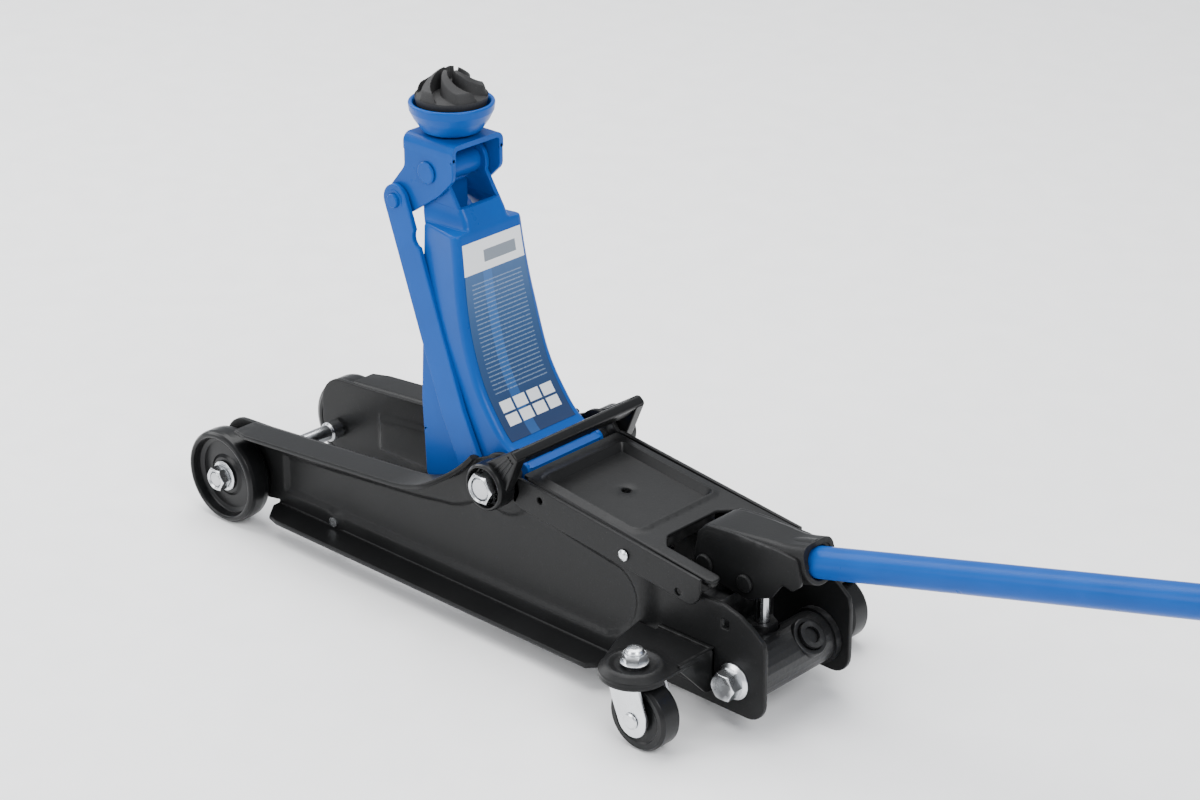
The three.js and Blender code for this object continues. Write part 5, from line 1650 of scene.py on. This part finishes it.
@dataclass
class RearCasters:
    """The swivelling rear casters and the brackets that carry them."""

    x: float = -131.5
    y: float = 77.5
    disc: float = 19.0
    top: float = 46.0
    thickness: float = 2.2
    trail: float = 7.5
    wheel_radius: float = 18.9

    def bracket(self) -> Surface:
        """Presses the bracket: a disc-ended plate with a rim, a gusset and a wall on the lobe.

        Returns:
            The left bracket.
        """
        x, y, r, t = self.x, self.y, self.disc, self.thickness
        rear, step, inner = x - r + 0.4, -112.5, 36.5
        outline = np.vstack([
            [(rear + 0.1, inner), (step, inner), (step, 40.1), (-100, 40.1), (-104, 60)],
            arc_points(x, y, r - 0.1, 10, 180, 26),
        ])

        def height(points: np.ndarray) -> np.ndarray:
            """Gives the top's height: a ring raised round the stem and the disc's edge turned down.

            Args:
                points: Places on the bracket.

            Returns:
                Millimetres up from the flat at each place.
            """
            away = np.hypot(points[:, 0] - x, points[:, 1] - y)
            ring = np.exp(-(((away - 14.0) / 2.2) ** 2)) * 1.7
            return ring - 1.3 * smoothstep(away, r - 4.2, r) - 0.5

        beads = (circle(x, y, 14.0, 60),)
        sheet = PressedSheet(outline, t, (circle(x, y, 5.3, 28),), height, beads, 3.4, 0.6).surface()
        whole = sheet.placed((0, 0, self.top - 1.0), (1, 0, 0), (0, 1, 0))
        angles = np.radians(np.linspace(4, 186, 40))
        bend = np.radians(np.linspace(90, 0, 5))
        section = np.vstack([
            [(r - 5, -1.9)], np.column_stack([r - 3.4 + 3.4 * np.cos(bend), -5.3 + 3.4 * np.sin(bend)]),
            [(r, -6.4), (r - 0.5, -7), (r - t + 0.5, -7), (r - t, -6.4), (r - t, -5.0), (r - 5, -3.6)],
        ])
        rows = [
            np.column_stack([
                x + section[:, 0] * math.cos(a), y + section[:, 0] * math.sin(a), self.top + section[:, 1],
            ]) for a in angles
        ]
        whole = whole.with_others(grid(np.array(rows), close_v=True, cap=True))
        gusset = fillet([
            (inner, self.top - 1), (inner, 20), (inner + 6, 20), (y - 14, self.top - 4),
            (y - 14, self.top - 1),
        ], [0.3, 2, 4, 6, 0.3], 4)
        wall = PressedSheet(gusset, t, (), None, (), 6.0, 0.5).surface()
        whole = whole.with_others(wall.placed((rear + t, 0, 0), (0, 1, 0), (0, 0, 1)))
        edge_z = self.top - 1.3
        flat = fillet([(rear, 20), (step, 20), (step, edge_z), (rear, edge_z)], [2, 4, 0.3, 0.3], 4)
        plate = PressedSheet(flat, t, (), None, (), 6.0, 0.5).surface()
        return whole.with_others(plate.facing_left(inner + t))

    def fork(self) -> Surface:
        """Presses the fork: a disc under the bracket and two cheeks that trail to the axle.

        Returns:
            The left fork.
        """
        x, y = self.x, self.y
        top = self.top - self.thickness - 1.0
        wheel_x = x - self.trail
        a = self.wheel_radius
        cheek = np.vstack([[(x + 10.5, top - 0.3), (x - 10.5, top - 0.3), (wheel_x - 9.6, a + 5)],
                           arc_points(wheel_x, a, 9.6, 180, 330, 9), [(x + 6.5, a + 9)]])
        cheek = fillet(cheek, [2, 2, 6] + [0] * 10 + [7], 5)
        whole = revolve([(5.3, top - 2), (12.2, top - 2), (12.2, top - 0.1), (5.3, top - 0.1)], 48, 0.5)
        race = revolve([(8.6, top - 0.2), (11.8, top - 0.2), (11.8, top + 0.7), (8.6, top + 0.7)], 48, 0.4)
        whole = whole.with_others(race).placed((x, y, 0), (1, 0, 0), (0, 1, 0))
        for sign in (1, -1):
            outer = y + (10.8 if sign > 0 else -8.8)
            sheet = PressedSheet(cheek, 2.0, (circle(wheel_x, a, 3.4, 22),), None, (), 5.0, 0.5).surface()
            whole = whole.with_others(sheet.facing_left(outer))
        return whole

    def build(self, shop: Workshop) -> None:
        """Makes both casters.

        Args:
            shop: Takes the finished pieces.
        """
        x, y, a = self.x, self.y, self.wheel_radius
        wheel_x = x - self.trail
        wheel = revolve([
            (3.3, -8), (7.6, -8), (7.6, -6.4), (13.6, -5.6), (14.6, -7), (a - 1.4, -7), (a, -5.2), (a, 5.2),
            (a - 1.4, 7), (14.6, 7), (13.6, 5.6), (7.6, 6.4), (7.6, 8), (3.3, 8),
        ], 72, 0.7).along_y(wheel_x, y, a)
        axle = revolve([
            (0, -12.3), (3.6, -12.3), (4.6, -11.7), (4.6, -11.1), (3, -11.1), (3, 11.1), (4.6, 11.1),
            (4.6, 11.7),
            (3.6, 12.3), (0, 12.3),
        ], 32, 0.3).along_y(wheel_x, y, a)
        stem_low, stem_high = node_box("caster_stem_left")
        stem = revolve([(0, stem_low[2]), (5, stem_low[2]), (5, stem_high[2] - 1.6),
            (4.2, stem_high[2] - 0.4),
                        (2.4, stem_high[2]), (0, stem_high[2])], 40, 0.3)
        nut = hexagon_nut(11.4, 5.0, 4.6).placed((0, 0, self.top + 1.2), (1, 0, 0), (0, 1, 0))
        seat = self.top + 0.1
        flange = revolve([
            (5, seat), (7.6, seat), (7.6, self.top + 0.9), (5.5, self.top + 1.5), (5, self.top + 1.5),
        ], 40, 0.2)
        stem = stem.with_others(nut, flange)
        stem = stem.placed((x, y, 0), (1, 0, 0), (0, 1, 0))
        for side in Side:
            caster = side.named("caster")
            shop.piece(side.named("caster_bracket_pressing"), self.bracket().on(side), Look.POWDER,
                       "frame", [side.named("caster_bracket")], sharp=50)
            shop.piece(side.named("caster_fork_pressing"), self.fork().on(side), Look.ZINC, caster,
                       [side.named("caster_fork")], sharp=50)
            shop.piece(side.named("caster_wheel_moulding"), wheel.on(side), Look.NYLON,
                       side.named("wheel_rear"), [side.named("caster_wheel")])
            shop.piece(side.named("caster_axle_rivet"), axle.on(side), Look.ZINC, caster,
                       [side.named("caster_axle")])
            shop.piece(side.named("caster_stem_nut"), stem.on(side), Look.ZINC, "frame",
                       [side.named("caster_stem")])


@dataclass
class Hydraulics:
    """The pump end: bolts, piston, valve, coiled return springs and the plain castings."""

    def spring(self) -> Surface:
        """Winds one return spring between the block and the ram's crosshead.

        Returns:
            The left spring.
        """
        low, high = node_box("return_spring_left")
        y, z = (low[1] + high[1]) / 2, (low[2] + high[2]) / 2
        wire, turns = 0.75, 26
        r = (high[2] - low[2]) / 2 - wire
        t = np.linspace(0, 1, turns * 14 + 1)
        x = low[0] + 0.9 + (high[0] - low[0] - 1.8) * t
        a = 2 * math.pi * turns * t
        path = np.column_stack([x, y + r * np.cos(a), z + r * np.sin(a)])
        tangent = unit_tangents(path)
        out = np.column_stack([np.zeros_like(a), np.cos(a), np.sin(a)])
        third = np.cross(tangent, out)
        phi = np.linspace(0, 2 * math.pi, 8, endpoint=False)
        around = np.cos(phi)[None, :, None] * out[:, None] + np.sin(phi)[None, :, None] * third[:, None]
        return grid(path[:, None] + wire * around, close_v=True, cap=True)

    def build(self, shop: Workshop) -> None:
        """Makes the pump end.

        Args:
            shop: Takes the finished pieces.
        """
        low, high = node_box("rear_bolt_left")
        head_height = 9.9
        inner = high[1] - head_height
        flange = revolve([(5, 0), (10.2, 0), (10.2, 0.9), (8.2, 2.4), (5, 2.4)], 64, 0.3)
        bolt = hexagon_nut(14.2, 0.0, head_height - 1.6).placed((0, 0, 1.6), (1, 0, 0), (0, 1, 0))
        shank = revolve([(0, low[1] - inner), (5, low[1] - inner), (5, 0.2), (0, 0.2)], 32, 0.3)
        whole = flange.with_others(bolt, shank).along_y(-163, inner, 29.7)
        for side in Side:
            shop.piece(side.named("rear_bolt_forged"), whole.on(side), Look.ZINC, "frame",
                       [side.named("rear_bolt")])
            low, high = node_box("return_spring_left")
            shop.coil(side.named("return_spring_coil"), self.spring().on(side), side)
        low, high = node_box("release_valve")
        middle = (low + high) / 2
        half = ((high[0] - low[0]) * math.sqrt(2) - 8.8) / 2
        aim = (0, 1, 0), (math.sqrt(0.5), 0, math.sqrt(0.5))
        screw = revolve([
            (0, -half), (4.4, -half), (4.4, half - 0.8), (3.7, half), (2.9, half), (2.6, half - 3),
            (0, half - 3),
        ], 48, 0.3).placed(middle, *aim)
        shop.piece("release_valve_turned", screw, Look.CAST, "valve", ["release_valve"])
        port = revolve([(7.7, half - 9), (10.6, half - 9), (10.6, half - 1.6), (9.6, half - 0.4),
            (8.4, half - 0.4),
                        (7.7, half - 1.2)], 56, 0.8).placed(middle, *aim)
        shop.piece("release_valve_port", port, Look.CAST, "frame")
        shop.dress(Look.CAST, "pump_block", "reservoir_tube", "cylinder_tube", "pump_gland")
        shop.dress(Look.ZINC, "ram_gland", "filler_plug", "socket_lug", "tie_rod")
        shop.dress(Look.STEEL, "pump_piston", "ram")
        shop.dress(Look.POWDER, "link_foot_pin_left", "link_foot_pin_right")


# --------------------------------------------------------------------------- the picture
@dataclass
class Studio:
    """A pale floor, soft lamps and the camera."""

    place: tuple[float, float, float] = (-1011.8, 1051.6, 791.5)
    right: tuple[float, float, float] = (-0.7325, -0.6807, 0.0)
    back: tuple[float, float, float] = (-0.619, 0.667, 0.415)
    lens: float = 88.31

    def floor(self) -> None:
        """Lays the floor, with a very soft drift in its tone."""
        mesh = bpy.data.meshes.new("floor")
        size = 9.0
        corners = [(-size, -size, 0), (size, -size, 0), (size, size, 0), (-size, size, 0)]
        mesh.from_pydata(corners, [], [(0, 1, 2, 3)])
        finish = Finish("studio_floor", (0.95, 0.95, 0.95), 0.6, grain=300, patch=0.01)
        mesh.materials.append(finish.material())
        obj = bpy.data.objects.new("floor", mesh)
        bpy.context.scene.collection.objects.link(obj)

    def lamp(self, name: str, place: Sequence[float], aim: Sequence[float], size: float,
        watts: float) -> None:
        """Hangs one square soft lamp.

        Args:
            name: The lamp's name.
            place: Where it hangs, in metres.
            aim: What it points at.
            size: Its square's side in metres.
            watts: Its power.
        """
        data = bpy.data.lights.new(name, "AREA")
        data.shape = "SQUARE"
        data.size = size
        data.energy = watts
        obj = bpy.data.objects.new(name, data)
        obj.location = Vector(place)
        obj.rotation_euler = (Vector(aim) - Vector(place)).to_track_quat("-Z", "Y").to_euler()
        bpy.context.scene.collection.objects.link(obj)

    def build(self) -> None:
        """Sets up the floor, lamps, sky and camera."""
        self.floor()
        middle = ORIGIN + np.array([0.0, 0.0, 0.12])
        self.lamp("overhead", middle + [0.5, -0.3, 1.8], middle, 1.9, 62)
        self.lamp("key", middle + [-1.7, 0.5, 1.5], middle, 1.0, 36)
        self.lamp("side", middle + [0.9, 2.0, 1.1], middle, 1.3, 32)
        self.lamp("front", middle + [1.9, 0.2, 1.1], middle, 1.2, 22)
        world = bpy.data.worlds.new("studio")
        world.use_nodes = True
        world.node_tree.nodes["Background"].inputs["Color"].default_value = (0.92, 0.95, 1.0, 1.0)
        world.node_tree.nodes["Background"].inputs["Strength"].default_value = 0.7
        bpy.context.scene.world = world
        data = bpy.data.cameras.new("camera")
        data.sensor_width = 36.0
        data.lens = self.lens
        data.clip_start = 0.05
        camera = bpy.data.objects.new("camera", data)
        back = Vector(self.back).normalized()
        right = Vector(self.right).normalized()
        up = back.cross(right)
        turn = Matrix((right, up, back)).transposed()
        camera.matrix_world = Matrix.Translation(Vector(np.array(self.place) * MM + ORIGIN)) @ turn.to_4x4()
        bpy.context.scene.collection.objects.link(camera)
        bpy.context.scene.camera = camera


def main() -> None:
    """Builds the jack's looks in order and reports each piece."""
    logging.basicConfig(level=logging.INFO, format="%(message)s")
    shop = Workshop()
    for assembly in (SideFrames(), Cover(), FrontEnd(), LiftArm(), SaddleHead(), Links(), CarryHandle(),
                     HandleSocket(), RearCasters(), Hydraulics()):
        before = len(shop.made)
        assembly.build(shop)
        for name in shop.made[before:]:
            LOG.info("%s: %s", type(assembly).__name__, name)
    Studio().build()


if __name__ == "__main__":
    main()
